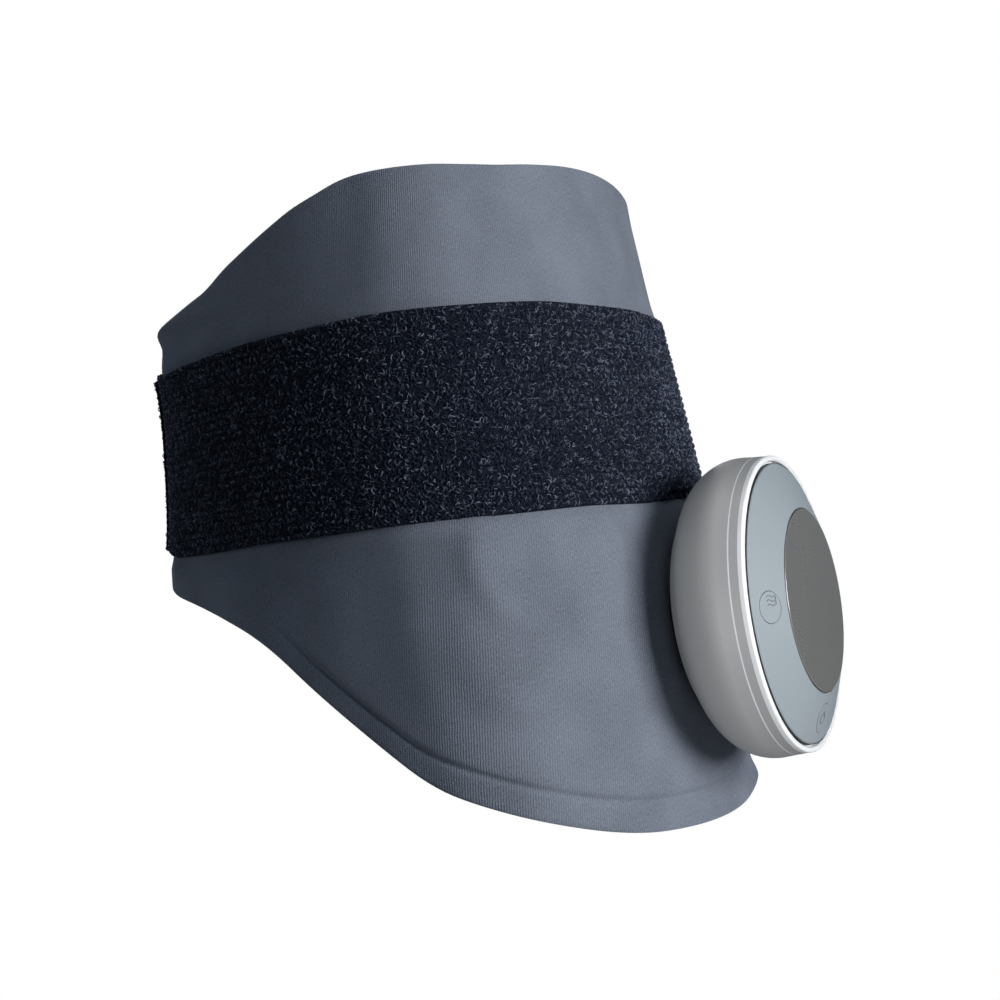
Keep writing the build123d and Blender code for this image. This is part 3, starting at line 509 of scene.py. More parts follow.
class NodeDesk:
    """Adds nodes to a node tree and joins their sockets."""

    def __init__(self, tree: bpy.types.NodeTree) -> None:
        """Keeps the tree that nodes are added to."""
        self.tree = tree

    def add(self, kind: str, inputs: dict[Any, Any] | None = None, **settings: Any) -> bpy.types.Node:
        """Adds a node.

        Args:
            kind: The node's type name.
            inputs: Each input's name or number, with a value for it or a socket to join to it.
            **settings: Values for the node's own properties.

        Returns:
            The new node.
        """
        node = self.tree.nodes.new(kind)
        for key, value in settings.items():
            setattr(node, key, value)
        for key, value in (inputs or {}).items():
            if isinstance(value, bpy.types.NodeSocket):
                self.tree.links.new(value, node.inputs[key])
            else:
                node.inputs[key].default_value = value
        return node

    def math(self, operation: str, first: Any, second: Any = 0.0, third: Any = 0.0) -> bpy.types.NodeSocket:
        """The result of a sum on sockets or numbers."""
        inputs = {0: first, 1: second, 2: third}
        return self.add("ShaderNodeMath", inputs, operation=operation).outputs[0]

    def fit(self, value: Any, low: float, high: float, to_low: float, to_high: float) -> bpy.types.NodeSocket:
        """A value moved from one range to another and kept inside it."""
        inputs = {0: value, 1: low, 2: high, 3: to_low, 4: to_high}
        return self.add("ShaderNodeMapRange", inputs, clamp=True).outputs[0]

    def blend(self, share: Any, first: Any, second: Any) -> bpy.types.NodeSocket:
        """Two colours mixed by a share."""
        inputs = {0: share, 6: first, 7: second}
        return self.add("ShaderNodeMix", inputs, data_type="RGBA").outputs[2]

    def noise(self, place: Any, scale: Any, detail: float = 2.0,
              roughness: float = 0.5) -> bpy.types.NodeSocket:
        """The value of a noise at a place."""
        inputs = {"Vector": place, "Scale": scale, "Detail": detail, "Roughness": roughness}
        return self.add("ShaderNodeTexNoise", inputs).outputs[0]

    def cloth_place(self) -> bpy.types.NodeSocket:
        """The place on a piece's own flat map, in millimetres."""
        flat = self.add("ShaderNodeUVMap", uv_map=CLOTH_MAP).outputs[0]
        return self.add("ShaderNodeVectorMath", {0: flat, 3: CLOTH_UNIT}, operation="SCALE").outputs[0]

    def wave(self, place: Any, pitch: Any, low: float, high: float) -> bpy.types.NodeSocket:
        """A sine wave along a place.

        Args:
            place: The place along it, in millimetres.
            pitch: The length of one wave, in millimetres.
            low: Its value in the troughs.
            high: Its value on the crests.

        Returns:
            The wave's value.
        """
        turns = self.math("MULTIPLY", self.math("DIVIDE", place, pitch), math.tau)
        return self.fit(self.math("SINE", turns), -1.0, 1.0, low, high)

    def group(self, tree: bpy.types.NodeTree, values: dict[str, float]) -> bpy.types.Node:
        """Adds a shader group.

        Args:
            tree: The group's node tree.
            values: Values for its inputs, by name.

        Returns:
            The group's node.
        """
        node = self.add("ShaderNodeGroup", node_tree=tree)
        for name, value in values.items():
            node.inputs[name].default_value = value
        return node

    def sockets(self, ins: dict[str, tuple[str, Any]],
                outs: dict[str, str]) -> tuple[bpy.types.Node, bpy.types.Node]:
        """Gives a group its named inputs and outputs.

        Args:
            ins: Each input's name, with its socket type and its first value, or None.
            outs: Each output's name, with its socket type.

        Returns:
            The group's input node and its output node.
        """
        for name, (kind, value) in ins.items():
            made = self.tree.interface.new_socket(name, in_out="INPUT", socket_type=kind)
            if value is not None:
                made.default_value = value
        for name, kind in outs.items():
            self.tree.interface.new_socket(name, in_out="OUTPUT", socket_type=kind)
        return self.add("NodeGroupInput"), self.add("NodeGroupOutput")


class Effects:
    """Shader node groups that several finishes share, each built once."""

    def __init__(self) -> None:
        """Builds the groups."""
        self.grain = self.build_grain()
        self.weave = self.build_weave()
        self.curl = self.build_curl()

    @staticmethod
    def build_curl() -> bpy.types.NodeTree:
        """Tangled yarn on a piece's own flat map: thin curling lines over gaps, in rows, with painted shade
        in the gaps and the rib valleys and painted glints in lighter patches.

        Returns:
            A group that gives a mask of the lines and a height, each from 0 to 1.
        """
        tree = bpy.data.node_groups.new("Curled yarn", "ShaderNodeTree")
        desk = NodeDesk(tree)
        ins, outs = desk.sockets(
            {
                "Curl per millimetre": ("NodeSocketFloat", 0.95),
                "Line width": ("NodeSocketFloat", 0.085),
                "Rib pitch": ("NodeSocketFloat", 1.92),
            },
            {"Mask": "NodeSocketFloat", "Height": "NodeSocketFloat"},
        )
        squash, layers = (0.72, 1.0, 1.0), (0.0, 37.0)
        detail, roughness = 1.0, 0.4
        patch_scale, patch_dark, rib_valley_shade = 0.5, 0.35, 0.45
        scaled = desk.cloth_place()
        inputs = {0: scaled, 1: squash}
        squashed = desk.add("ShaderNodeVectorMath", inputs, operation="MULTIPLY").outputs[0]
        lines = []
        for offset in layers:
            inputs = {0: squashed, 1: (offset, offset, 0.0)}
            moved = desk.add("ShaderNodeVectorMath", inputs, operation="ADD").outputs[0]
            noise = desk.noise(moved, ins.outputs["Curl per millimetre"], detail, roughness)
            off = desk.math("ABSOLUTE", desk.math("SUBTRACT", noise, 0.5))
            near = desk.math("DIVIDE", off, ins.outputs["Line width"])
            lines.append(desk.math("SUBTRACT", 1.0, desk.math("MINIMUM", near, 1.0)))
        line = desk.math("MAXIMUM", lines[0], lines[1])
        up = desk.add("ShaderNodeSeparateXYZ", {0: scaled}).outputs[1]
        # The rib valleys darken the yarn lines as painted shade, and the lighter noise patches stand for
        # glints: painted highlight.
        rib = desk.wave(up, ins.outputs["Rib pitch"], rib_valley_shade, 1.0)
        patch = desk.fit(desk.noise(scaled, patch_scale), *NOISE_SPAN, patch_dark, 1.0)
        mask = desk.math("MULTIPLY", desk.math("MULTIPLY", line, rib), patch)
        tree.links.new(mask, outs.inputs["Mask"])
        tree.links.new(line, outs.inputs["Height"])
        return tree

    @staticmethod
    def build_grain() -> bpy.types.NodeTree:
        """Fine moulded grain with broad cloudiness, for plastics, rubber and metal.

        Returns:
            A group that gives a mask from 0 to 1 and a normal.
        """
        tree = bpy.data.node_groups.new("Moulded grain", "ShaderNodeTree")
        desk = NodeDesk(tree)
        ins, outs = desk.sockets(
            {
                "Grain per metre": ("NodeSocketFloat", 3000.0),
                "Cloud per metre": ("NodeSocketFloat", 40.0),
                "Depth": ("NodeSocketFloat", 0.00002),
            },
            {"Mask": "NodeSocketFloat", "Normal": "NodeSocketVector"},
        )
        place = desk.add("ShaderNodeTexCoord").outputs["Object"]
        fine = desk.noise(place, ins.outputs["Grain per metre"], 3.0)
        cloud = desk.noise(place, ins.outputs["Cloud per metre"], 2.0)
        fine_share = 0.45
        cloudy = desk.math("MULTIPLY", cloud, 1.0 - fine_share)
        mask = desk.math("ADD", desk.math("MULTIPLY", fine, fine_share), cloudy)
        bump = desk.add("ShaderNodeBump", {"Distance": ins.outputs["Depth"], "Height": fine})
        tree.links.new(mask, outs.inputs["Mask"])
        tree.links.new(bump.outputs[0], outs.inputs["Normal"])
        return tree

    @staticmethod
    def build_weave() -> bpy.types.NodeTree:
        """Threads on a piece's own flat map: columns, rows, streaks of uneven yarn and broad wear.

        Returns:
            A group that gives a streak mask, a wear mask and a height, each from 0 to 1.
        """
        tree = bpy.data.node_groups.new("Thread weave", "ShaderNodeTree")
        desk = NodeDesk(tree)
        ins, outs = desk.sockets(
            {
                "Column pitch": ("NodeSocketFloat", 0.65),
                "Row pitch": ("NodeSocketFloat", 0.5),
                "Streak length": ("NodeSocketFloat", 2.4),
                "Streak width": ("NodeSocketFloat", 0.5),
                "Lean": ("NodeSocketFloat", 0.0),
            },
            {"Streak": "NodeSocketFloat", "Wear": "NodeSocketFloat", "Height": "NodeSocketFloat"},
        )
        wander_scale, wander_reach, wear_scale = 0.35, 0.5, 0.045
        column_share, streak_share, row_share = 0.45, 0.4, 0.15
        scaled = desk.cloth_place()
        parts = desk.add("ShaderNodeSeparateXYZ", {0: scaled})
        along, up = parts.outputs[0], parts.outputs[1]
        wander = desk.noise(scaled, wander_scale)
        shifted = desk.math("ADD", along, desk.math("MULTIPLY", wander, wander_reach))
        shifted = desk.math("ADD", shifted, desk.math("MULTIPLY", up, ins.outputs["Lean"]))
        columns = desk.wave(shifted, ins.outputs["Column pitch"], 0.0, 1.0)
        rows = desk.wave(up, ins.outputs["Row pitch"], 0.0, 1.0)
        stretched = desk.add(
            "ShaderNodeCombineXYZ",
            {
                0: desk.math("DIVIDE", shifted, ins.outputs["Streak width"]),
                1: desk.math("DIVIDE", up, ins.outputs["Streak length"]),
            },
        ).outputs[0]
        faintest, strongest = 0.25, 0.75
        streak = desk.noise(stretched, 1.0, detail=3.0, roughness=0.6)
        streak = desk.fit(streak, faintest, strongest, 0.0, 1.0)
        wear = desk.noise(scaled, wear_scale, detail=3.0)
        height = desk.math("MULTIPLY", columns, column_share)
        height = desk.math("ADD", height, desk.math("MULTIPLY", streak, streak_share))
        height = desk.math("ADD", height, desk.math("MULTIPLY", rows, row_share))
        for name, value in (("Streak", streak), ("Wear", wear), ("Height", height)):
            tree.links.new(value, outs.inputs[name])
        return tree


Colour = tuple[float, float, float, float]


def new_material(name: str) -> tuple[bpy.types.Material, NodeDesk, bpy.types.Node]:
    """Makes a material with nodes.

    Args:
        name: The material's name.

    Returns:
        The material, the desk of its node tree and its surface shader.
    """
    material = bpy.data.materials.new(name)
    material.use_nodes = True
    return material, NodeDesk(material.node_tree), material.node_tree.nodes["Principled BSDF"]


@dataclass(frozen=True)
class MouldedFinish:
    """A moulded or machined surface with fine grain and a little cloudiness."""

    name: str
    colour: Colour
    darker: Colour
    rough_low: float
    rough_high: float
    grain: float = 3000.0
    depth: float = 0.00001
    metallic: float = 0.0
    specular: float = 0.5
    coat: float = 0.0

    def build(self, effects: Effects) -> bpy.types.Material:
        """Makes the material.

        Args:
            effects: The shared node groups.

        Returns:
            The new material.
        """
        material, desk, shader = new_material(self.name)
        grain = desk.group(effects.grain, {"Grain per metre": self.grain, "Depth": self.depth})
        links = material.node_tree.links
        links.new(desk.blend(grain.outputs["Mask"], self.darker, self.colour), shader.inputs["Base Color"])
        rough = desk.fit(grain.outputs["Mask"], *NOISE_SPAN, self.rough_low, self.rough_high)
        links.new(rough, shader.inputs["Roughness"])
        links.new(grain.outputs["Normal"], shader.inputs["Normal"])
        shader.inputs["Metallic"].default_value = self.metallic
        shader.inputs["Specular IOR Level"].default_value = self.specular
        shader.inputs["Coat Weight"].default_value = self.coat
        return material


@dataclass(frozen=True)
class ClothFinish:
    """A knitted or woven face that follows the piece's flat map."""

    name: str
    light: Colour
    dark: Colour
    column_pitch: float
    row_pitch: float
    streak_length: float
    streak_width: float
    depth: float
    rough: float = 0.9
    sheen: float = 0.2
    contrast: float = 1.0
    lean: float = 0.0
    groove_shade_share: float = 0.4
    streak_gloss: float = 0.12
    specular: float = 0.25
    sheen_rough: float = 0.5

    def build(self, effects: Effects) -> bpy.types.Material:
        """Makes the material.

        Args:
            effects: The shared node groups.

        Returns:
            The new material.
        """
        material, desk, shader = new_material(self.name)
        values = {
            "Column pitch": self.column_pitch,
            "Row pitch": self.row_pitch,
            "Streak length": self.streak_length,
            "Streak width": self.streak_width,
            "Lean": self.lean,
        }
        weave = desk.group(effects.weave, values)
        streak, wear, height = (weave.outputs[name] for name in ("Streak", "Wear", "Height"))
        share = desk.math("MULTIPLY_ADD", desk.math("SUBTRACT", streak, 0.5), self.contrast, wear)
        # Lower weave height darkens the colour: painted shade in the grooves between columns and rows, while
        # the streaks' part of it is yarn tone.
        raised = desk.math("SUBTRACT", height, 0.5)
        share = desk.math("MULTIPLY_ADD", raised, self.groove_shade_share * self.contrast, share)
        share = desk.fit(share, 0.0, 1.0, 0.0, 1.0)
        links = material.node_tree.links
        links.new(desk.blend(share, self.dark, self.light), shader.inputs["Base Color"])
        bump = desk.add("ShaderNodeBump", {"Distance": self.depth, "Height": height})
        links.new(bump.outputs[0], shader.inputs["Normal"])
        rough = desk.fit(streak, 0.0, 1.0, self.rough, self.rough - self.streak_gloss)
        links.new(rough, shader.inputs["Roughness"])
        shader.inputs["Specular IOR Level"].default_value = self.specular
        shader.inputs["Sheen Weight"].default_value = self.sheen
        shader.inputs["Sheen Roughness"].default_value = self.sheen_rough
        return material


@dataclass(frozen=True)
class PileGroundFinish:
    """The felted ground of loop webbing, under its pile: its dark gap colour is painted shade between the
    curls.
    """

    name: str
    gap: Colour
    yarn: Colour
    depth: float = 0.00035
    rough: float = 0.6
    gap_rough: float = 0.95
    specular: float = 0.2

    def build(self, effects: Effects) -> bpy.types.Material:
        """Makes the material.

        Args:
            effects: The shared node groups.

        Returns:
            The new material.
        """
        material, desk, shader = new_material(self.name)
        curl = desk.group(effects.curl, {})
        links = material.node_tree.links
        links.new(desk.blend(curl.outputs["Mask"], self.gap, self.yarn), shader.inputs["Base Color"])
        bump = desk.add("ShaderNodeBump", {"Distance": self.depth, "Height": curl.outputs["Height"]})
        links.new(bump.outputs[0], shader.inputs["Normal"])
        rough = desk.fit(curl.outputs["Mask"], 0.0, 1.0, self.gap_rough, self.rough)
        links.new(rough, shader.inputs["Roughness"])
        shader.inputs["Specular IOR Level"].default_value = self.specular
        return material


@dataclass(frozen=True)
class ThreadFinish:
    """Single threads whose shade is set for each one."""

    name: str
    dark: Colour
    light: Colour
    power: float = 2.5
    rough: float = 0.5
    dark_rough: float = 0.2
    uneven: tuple[float, float] = (0.6, 1.2)
    specular: float = 0.5

    def build(self, effects: Effects) -> bpy.types.Material:
        """Makes the material.

        Args:
            effects: The shared node groups.

        Returns:
            The new material.
        """
        material, desk, shader = new_material(self.name)
        shade = desk.add("ShaderNodeAttribute", attribute_name=SHADE).outputs["Fac"]
        grain = desk.group(effects.grain, {})
        share = desk.math("POWER", shade, self.power)
        share = desk.math("MULTIPLY", share, desk.fit(grain.outputs["Mask"], *NOISE_SPAN, *self.uneven))
        links = material.node_tree.links
        links.new(desk.blend(share, self.dark, self.light), shader.inputs["Base Color"])
        rough = desk.fit(shade, 0.0, 1.0, self.rough + self.dark_rough, self.rough)
        links.new(rough, shader.inputs["Roughness"])
        shader.inputs["Specular IOR Level"].default_value = self.specular
        return material


class Finishes:
    """Every material of the object."""

    def __init__(self) -> None:
        """Builds the shared groups and then each material."""
        effects = Effects()
        self.knit = ClothFinish(
            "Grey fine knit", light=(0.240, 0.267, 0.326, 1), dark=(0.112, 0.130, 0.164, 1),
            column_pitch=0.6, row_pitch=0.45, streak_length=0.7, streak_width=0.2, depth=0.00012,
            sheen=0.12, lean=-0.12,
        ).build(effects)
        self.lining = ClothFinish(
            "Brushed grey lining", light=(0.42, 0.44, 0.47, 1), dark=(0.27, 0.29, 0.31, 1),
            column_pitch=0.9, row_pitch=0.9, streak_length=1.2, streak_width=0.9, depth=0.00015,
            sheen=0.3, contrast=0.6,
        ).build(effects)
        # The gap colour is painted shade between the curled yarn and in the rib valleys.
        self.webbing = PileGroundFinish(
            "Black webbing ground", gap=(0.0006, 0.0040, 0.0140, 1), yarn=(0.022, 0.032, 0.052, 1),
        ).build(effects)
        # The few loops near the light end stand for glints on the black yarn: painted highlight, with random
        # yarn tone between.
        self.pile = ThreadFinish(
            "Black loop pile with painted glints", dark=(0.0012, 0.0070, 0.0250, 1), light=(0.235, 0.270, 0.360, 1),
            power=3.4, specular=0.35,
        ).build(effects)
        self.thread = ThreadFinish(
            "Black sewing thread", dark=(0.010, 0.012, 0.016, 1), light=(0.05, 0.055, 0.065, 1), power=1.0,
        ).build(effects)
        # The signs are moulded in the face silicone; their darker colour is painted shade of the raised
        # marks.
        sign = MouldedFinish("Key sign with painted shade", (0.19, 0.215, 0.23, 1), (0.18, 0.205, 0.22, 1), 0.5, 0.6)
        self.sign = sign.build(effects)
        # A dark ring round the face plate's foot: painted shade for the plate's shaded wall and gap.
        painted_shade_ring = MouldedFinish("Face painted shade ring", (0.05, 0.057, 0.06, 1), (0.045, 0.05, 0.053, 1), 0.6, 0.7)
        self.painted_shade_ring = painted_shade_ring.build(effects)
        moulded = {
            "foam": MouldedFinish(
                "Dark closed-cell foam", (0.10, 0.105, 0.11, 1), (0.04, 0.042, 0.045, 1), 0.85, 0.98,
                grain=1400.0, depth=0.0001,
            ),
            "pod_grey": MouldedFinish(
                "Grey satin shell", (0.385, 0.385, 0.38, 1), (0.365, 0.365, 0.36, 1), 0.42, 0.52,
                grain=5200.0, depth=0.000006,
            ),
            "white_plastic": MouldedFinish(
                "White ring plastic", (0.88, 0.885, 0.885, 1), (0.84, 0.85, 0.85, 1), 0.28, 0.4,
                grain=4200.0, depth=0.000003,
            ),
            "face_silicone": MouldedFinish(
                "Blue-grey silicone skin", (0.275, 0.312, 0.335, 1), (0.257, 0.293, 0.318, 1), 0.5, 0.62,
                grain=6000.0, depth=0.000005,
            ),
            "window": MouldedFinish(
                "Dark tinted window", (0.164, 0.162, 0.154, 1), (0.156, 0.155, 0.147, 1), 0.22, 0.3,
                grain=2600.0, depth=0.000001, coat=0.2,
            ),
            "black_plastic": MouldedFinish(
                "Black moulded plastic", (0.03, 0.03, 0.032, 1), (0.018, 0.018, 0.02, 1), 0.4, 0.6,
            ),
            "hook_plastic": MouldedFinish(
                "Moulded hook strip", (0.02, 0.021, 0.023, 1), (0.008, 0.008, 0.01, 1), 0.35, 0.55,
                grain=900.0, depth=0.0003,
            ),
            "film": MouldedFinish(
                "Amber heating film", (0.55, 0.33, 0.10, 1), (0.42, 0.22, 0.06, 1), 0.25, 0.4,
            ),
            "sensor": MouldedFinish("Sensor epoxy", (0.25, 0.20, 0.17, 1), (0.17, 0.13, 0.11, 1), 0.4, 0.6),
            "lead": MouldedFinish("Lead insulation", (0.05, 0.05, 0.05, 1), (0.03, 0.03, 0.03, 1), 0.45, 0.6),
            "board": MouldedFinish(
                "Green solder mask", (0.03, 0.17, 0.08, 1), (0.02, 0.11, 0.05, 1), 0.3, 0.45,
            ),
            "battery_wrap": MouldedFinish(
                "Foil pouch", (0.62, 0.64, 0.66, 1), (0.5, 0.52, 0.55, 1), 0.28, 0.45,
                grain=700.0, depth=0.00004, metallic=0.9,
            ),
            "steel": MouldedFinish(
                "Zinc-plated steel", (0.62, 0.62, 0.62, 1), (0.5, 0.5, 0.5, 1), 0.3, 0.45,
                grain=2400.0, metallic=1.0,
            ),
            "magnet": MouldedFinish(
                "Nickel-plated magnet", (0.7, 0.69, 0.67, 1), (0.6, 0.59, 0.57, 1), 0.15, 0.3, metallic=1.0,
            ),
            "gold_contact": MouldedFinish(
                "Gold-plated contact", (0.85, 0.62, 0.24, 1), (0.75, 0.52, 0.18, 1), 0.2, 0.35, metallic=1.0,
            ),
        }
        self.slots = {slot: finish.build(effects) for slot, finish in moulded.items()}
        self.slots.update({"knit_fabric": self.knit, "lining": self.lining, "loop_webbing": self.webbing})

    def dress_nodes(self) -> None:
        """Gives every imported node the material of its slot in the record."""
        for part in frame["record"]["subparts"]:
            dress(frame["nodes"][part["node"]], self.slots[part["material_slot"]])


@dataclass
class Hinges:
    """Where the soft pieces bend between two bodies, as (x, y) places."""

    wing_start: tuple[float, float] = (-65.0, 7.0)
    wing_end: tuple[float, float] = (-65.0, 36.0)
    peel_start: tuple[float, float] = (-8.0, 83.0)
    peel_end: tuple[float, float] = (12.0, 83.0)

    @staticmethod
    def place(spot: tuple[float, float]) -> tuple[float, float, float]:
        """A place in metres, at the origin's height."""
        return (spot[0] * MM, spot[1] * MM, 0.0)

    def wing(self, piece: bpy.types.Object) -> None:
        """Works out the places where a piece bends from the front to the wing, which are not used, and bakes
        the piece's transform.
        """
        self.place(self.wing_start)
        self.place(self.wing_end)
        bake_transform(piece)

    def peel(self, piece: bpy.types.Object) -> None:
        """Works out the places where a piece bends from the wing to the strap's free end, which are not used,
        and bakes the piece's transform.
        """
        self.place(self.peel_start)
        self.place(self.peel_end)
        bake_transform(piece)


@dataclass
class Sleeve:
    """The moulded sleeve: outer knit, foam core and lining, each in two pieces that meet on the +X side."""

    form: WrapForm
    relief: Relief
    finishes: Finishes
    hinges: Hinges
    cut_run: float = 92.0
    column_step: float = 2.0
    row_step: float = 2.2
    edge_rows: tuple = (0.0, 0.3, 0.9, 2.0, 3.4, 4.8, 5.8, 6.4, 6.9, 7.4, 7.9, 8.4, 9.0, 10.0)
    corner_columns: int = 14
    squeeze_at: float = 2.6
    rim_round: float = 0.28
    rim_fall: float = 0.25
    knit_back: float = -2.8
    foam_depths: tuple[float, float] = (-2.82, -4.78)
    lining_depths: tuple[float, float] = (-4.8, -5.4)
    inner_share: float = 0.3
    end_depth: float = -3.5
    end_reach: float = 3.0
    tip_drop: float = 5.0
    tip_start: float = 181.0
    tip_fade: float = 22.0
    slope_rise: float = 1.1
    slope_span: tuple[float, float] = (-148.0, -108.0)
    slope_fade: float = 16.0

    def columns(self) -> np.ndarray:
        """Runs of the grid's columns, close together round the wings' corners, with one at the cut."""
        end, corner = self.form.wing_end(), self.form.wing_corner
        straight = end - corner
        far = np.linspace(self.cut_run, straight, round((straight - self.cut_run) / self.column_step) + 1)
        rest = np.linspace(-straight, self.cut_run, round((straight + self.cut_run) / self.column_step) + 1)
        curl = straight + corner * np.sin(np.linspace(0, math.pi / 2, self.corner_columns))[1:]
        return np.concatenate([-curl[::-1], rest[:-1], far, curl])

    def grid(self) -> tuple[np.ndarray, np.ndarray, np.ndarray, np.ndarray]:
        """The grid's runs, heights and the edges' heights, as rows by columns."""
        run = self.columns()
        low, top = self.form.edge_heights(run)
        top = top - self.tip_drop * smooth((np.abs(run) - self.tip_start) / self.tip_fade)
        top = top + self.slope_rise * band(run, *self.slope_span, self.slope_fade)
        edge = np.array(self.edge_rows)
        tall = float(np.max(top - low)) - 2 * edge[-1]
        share = np.linspace(0, 1, round(tall / self.row_step) + 1)[1:-1]
        squeeze = np.minimum((top - low) / (self.squeeze_at * edge[-1]), 1.0)
        bottom = low + edge[:, None] * squeeze
        upper = top - edge[::-1, None] * squeeze
        middle = bottom[-1] + share[:, None] * (upper[0] - bottom[-1])
        height = np.concatenate([bottom, middle, upper])
        shape = height.shape
        return tuple(np.broadcast_to(value, shape) for value in (run, height, low, top))

    def end_runs(self, run: np.ndarray, height: np.ndarray) -> np.ndarray:
        """Runs moved near the wings' ends so that each end is upright in space, at half the back gap."""
        _, radii, _ = self.form.arcs()
        rise = height - self.form.datum_z
        reach = radii[3] - self.form.flare * rise + self.end_depth
        end = self.form.half_girth() - radii[3] * np.arcsin(self.form.back_gap / 2 / reach)
        start = self.form.wing_end() - self.end_reach * self.form.wing_corner
        share = np.clip((np.abs(run) - start) / (self.form.wing_end() - start), 0.0, 1.0)
        moved = np.abs(run) + share * (end - self.form.wing_end())
        return np.sign(run) * moved

    def build(self) -> None:
        """Makes the six pieces, puts the far ones on the root and bakes the near ones' transforms."""
        run, height, low, top = self.grid()
        run = self.end_runs(run, height)
        wing = self.form.wing_lift(run, height)
        lift = self.relief.at(run, height, low, top)
        outside, inside = lift + wing, self.inner_share * lift + wing
        rim = self.rim_round * np.exp(-np.minimum(height - low, top - height) / self.rim_fall)
        cloth = np.stack([run, height], axis=-1)
        cut = int(np.argmin(np.abs(self.columns() - self.cut_run)))
        spans = {"near": slice(0, cut + 1), "far": slice(cut, None)}
        layers = {
            "foam_core": (
                self.foam_depths[0] + outside, self.foam_depths[1] + inside,
                self.finishes.slots["foam"], Slot.FOAM,
            ),
            "outer_fabric": (
                FABRIC_FACE + outside - rim, self.knit_back + outside,
                self.finishes.knit, Slot.KNIT,
            ),
            "lining": (
                self.lining_depths[0] + inside, self.lining_depths[1] + inside + rim,
                self.finishes.lining, Slot.LINING,
            ),
        }
        for layer, (out, into, material, slot) in layers.items():
            outer = self.form.point(run, height, out)
            inner = self.form.point(run, height, into)
            for side, span in spans.items():
                piece = grid_shell(f"wrap_{layer}_{side}", outer, inner, cloth, span)
                dress(piece, material)
                if side == "near":
                    self.hinges.wing(piece)
                    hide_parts(f"front_{layer}", f"wing_{layer}")
                else:
                    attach(piece, "root")
                    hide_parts(f"front_{layer}")
                LOG.info("%s: %d faces", piece.name, len(piece.data.polygons))

    @staticmethod
    def cut(run: np.ndarray, low: np.ndarray, top: np.ndarray) -> tuple[tuple[float, float], float]:
        """The flat size of a layer's cut, from its outline.

        Args:
            run: Runs along it.
            low: The lower edge's height at each run.
            top: The upper edge's height at each run.

        Returns:
            The cut's width and length in metres, and its area in square metres.
        """
        area = float(np.sum(np.diff(run) * (top - low)[1:])) * MM**2
        return (float(np.ptp(run)) * MM, float(top.max() - low.min()) * MM), area


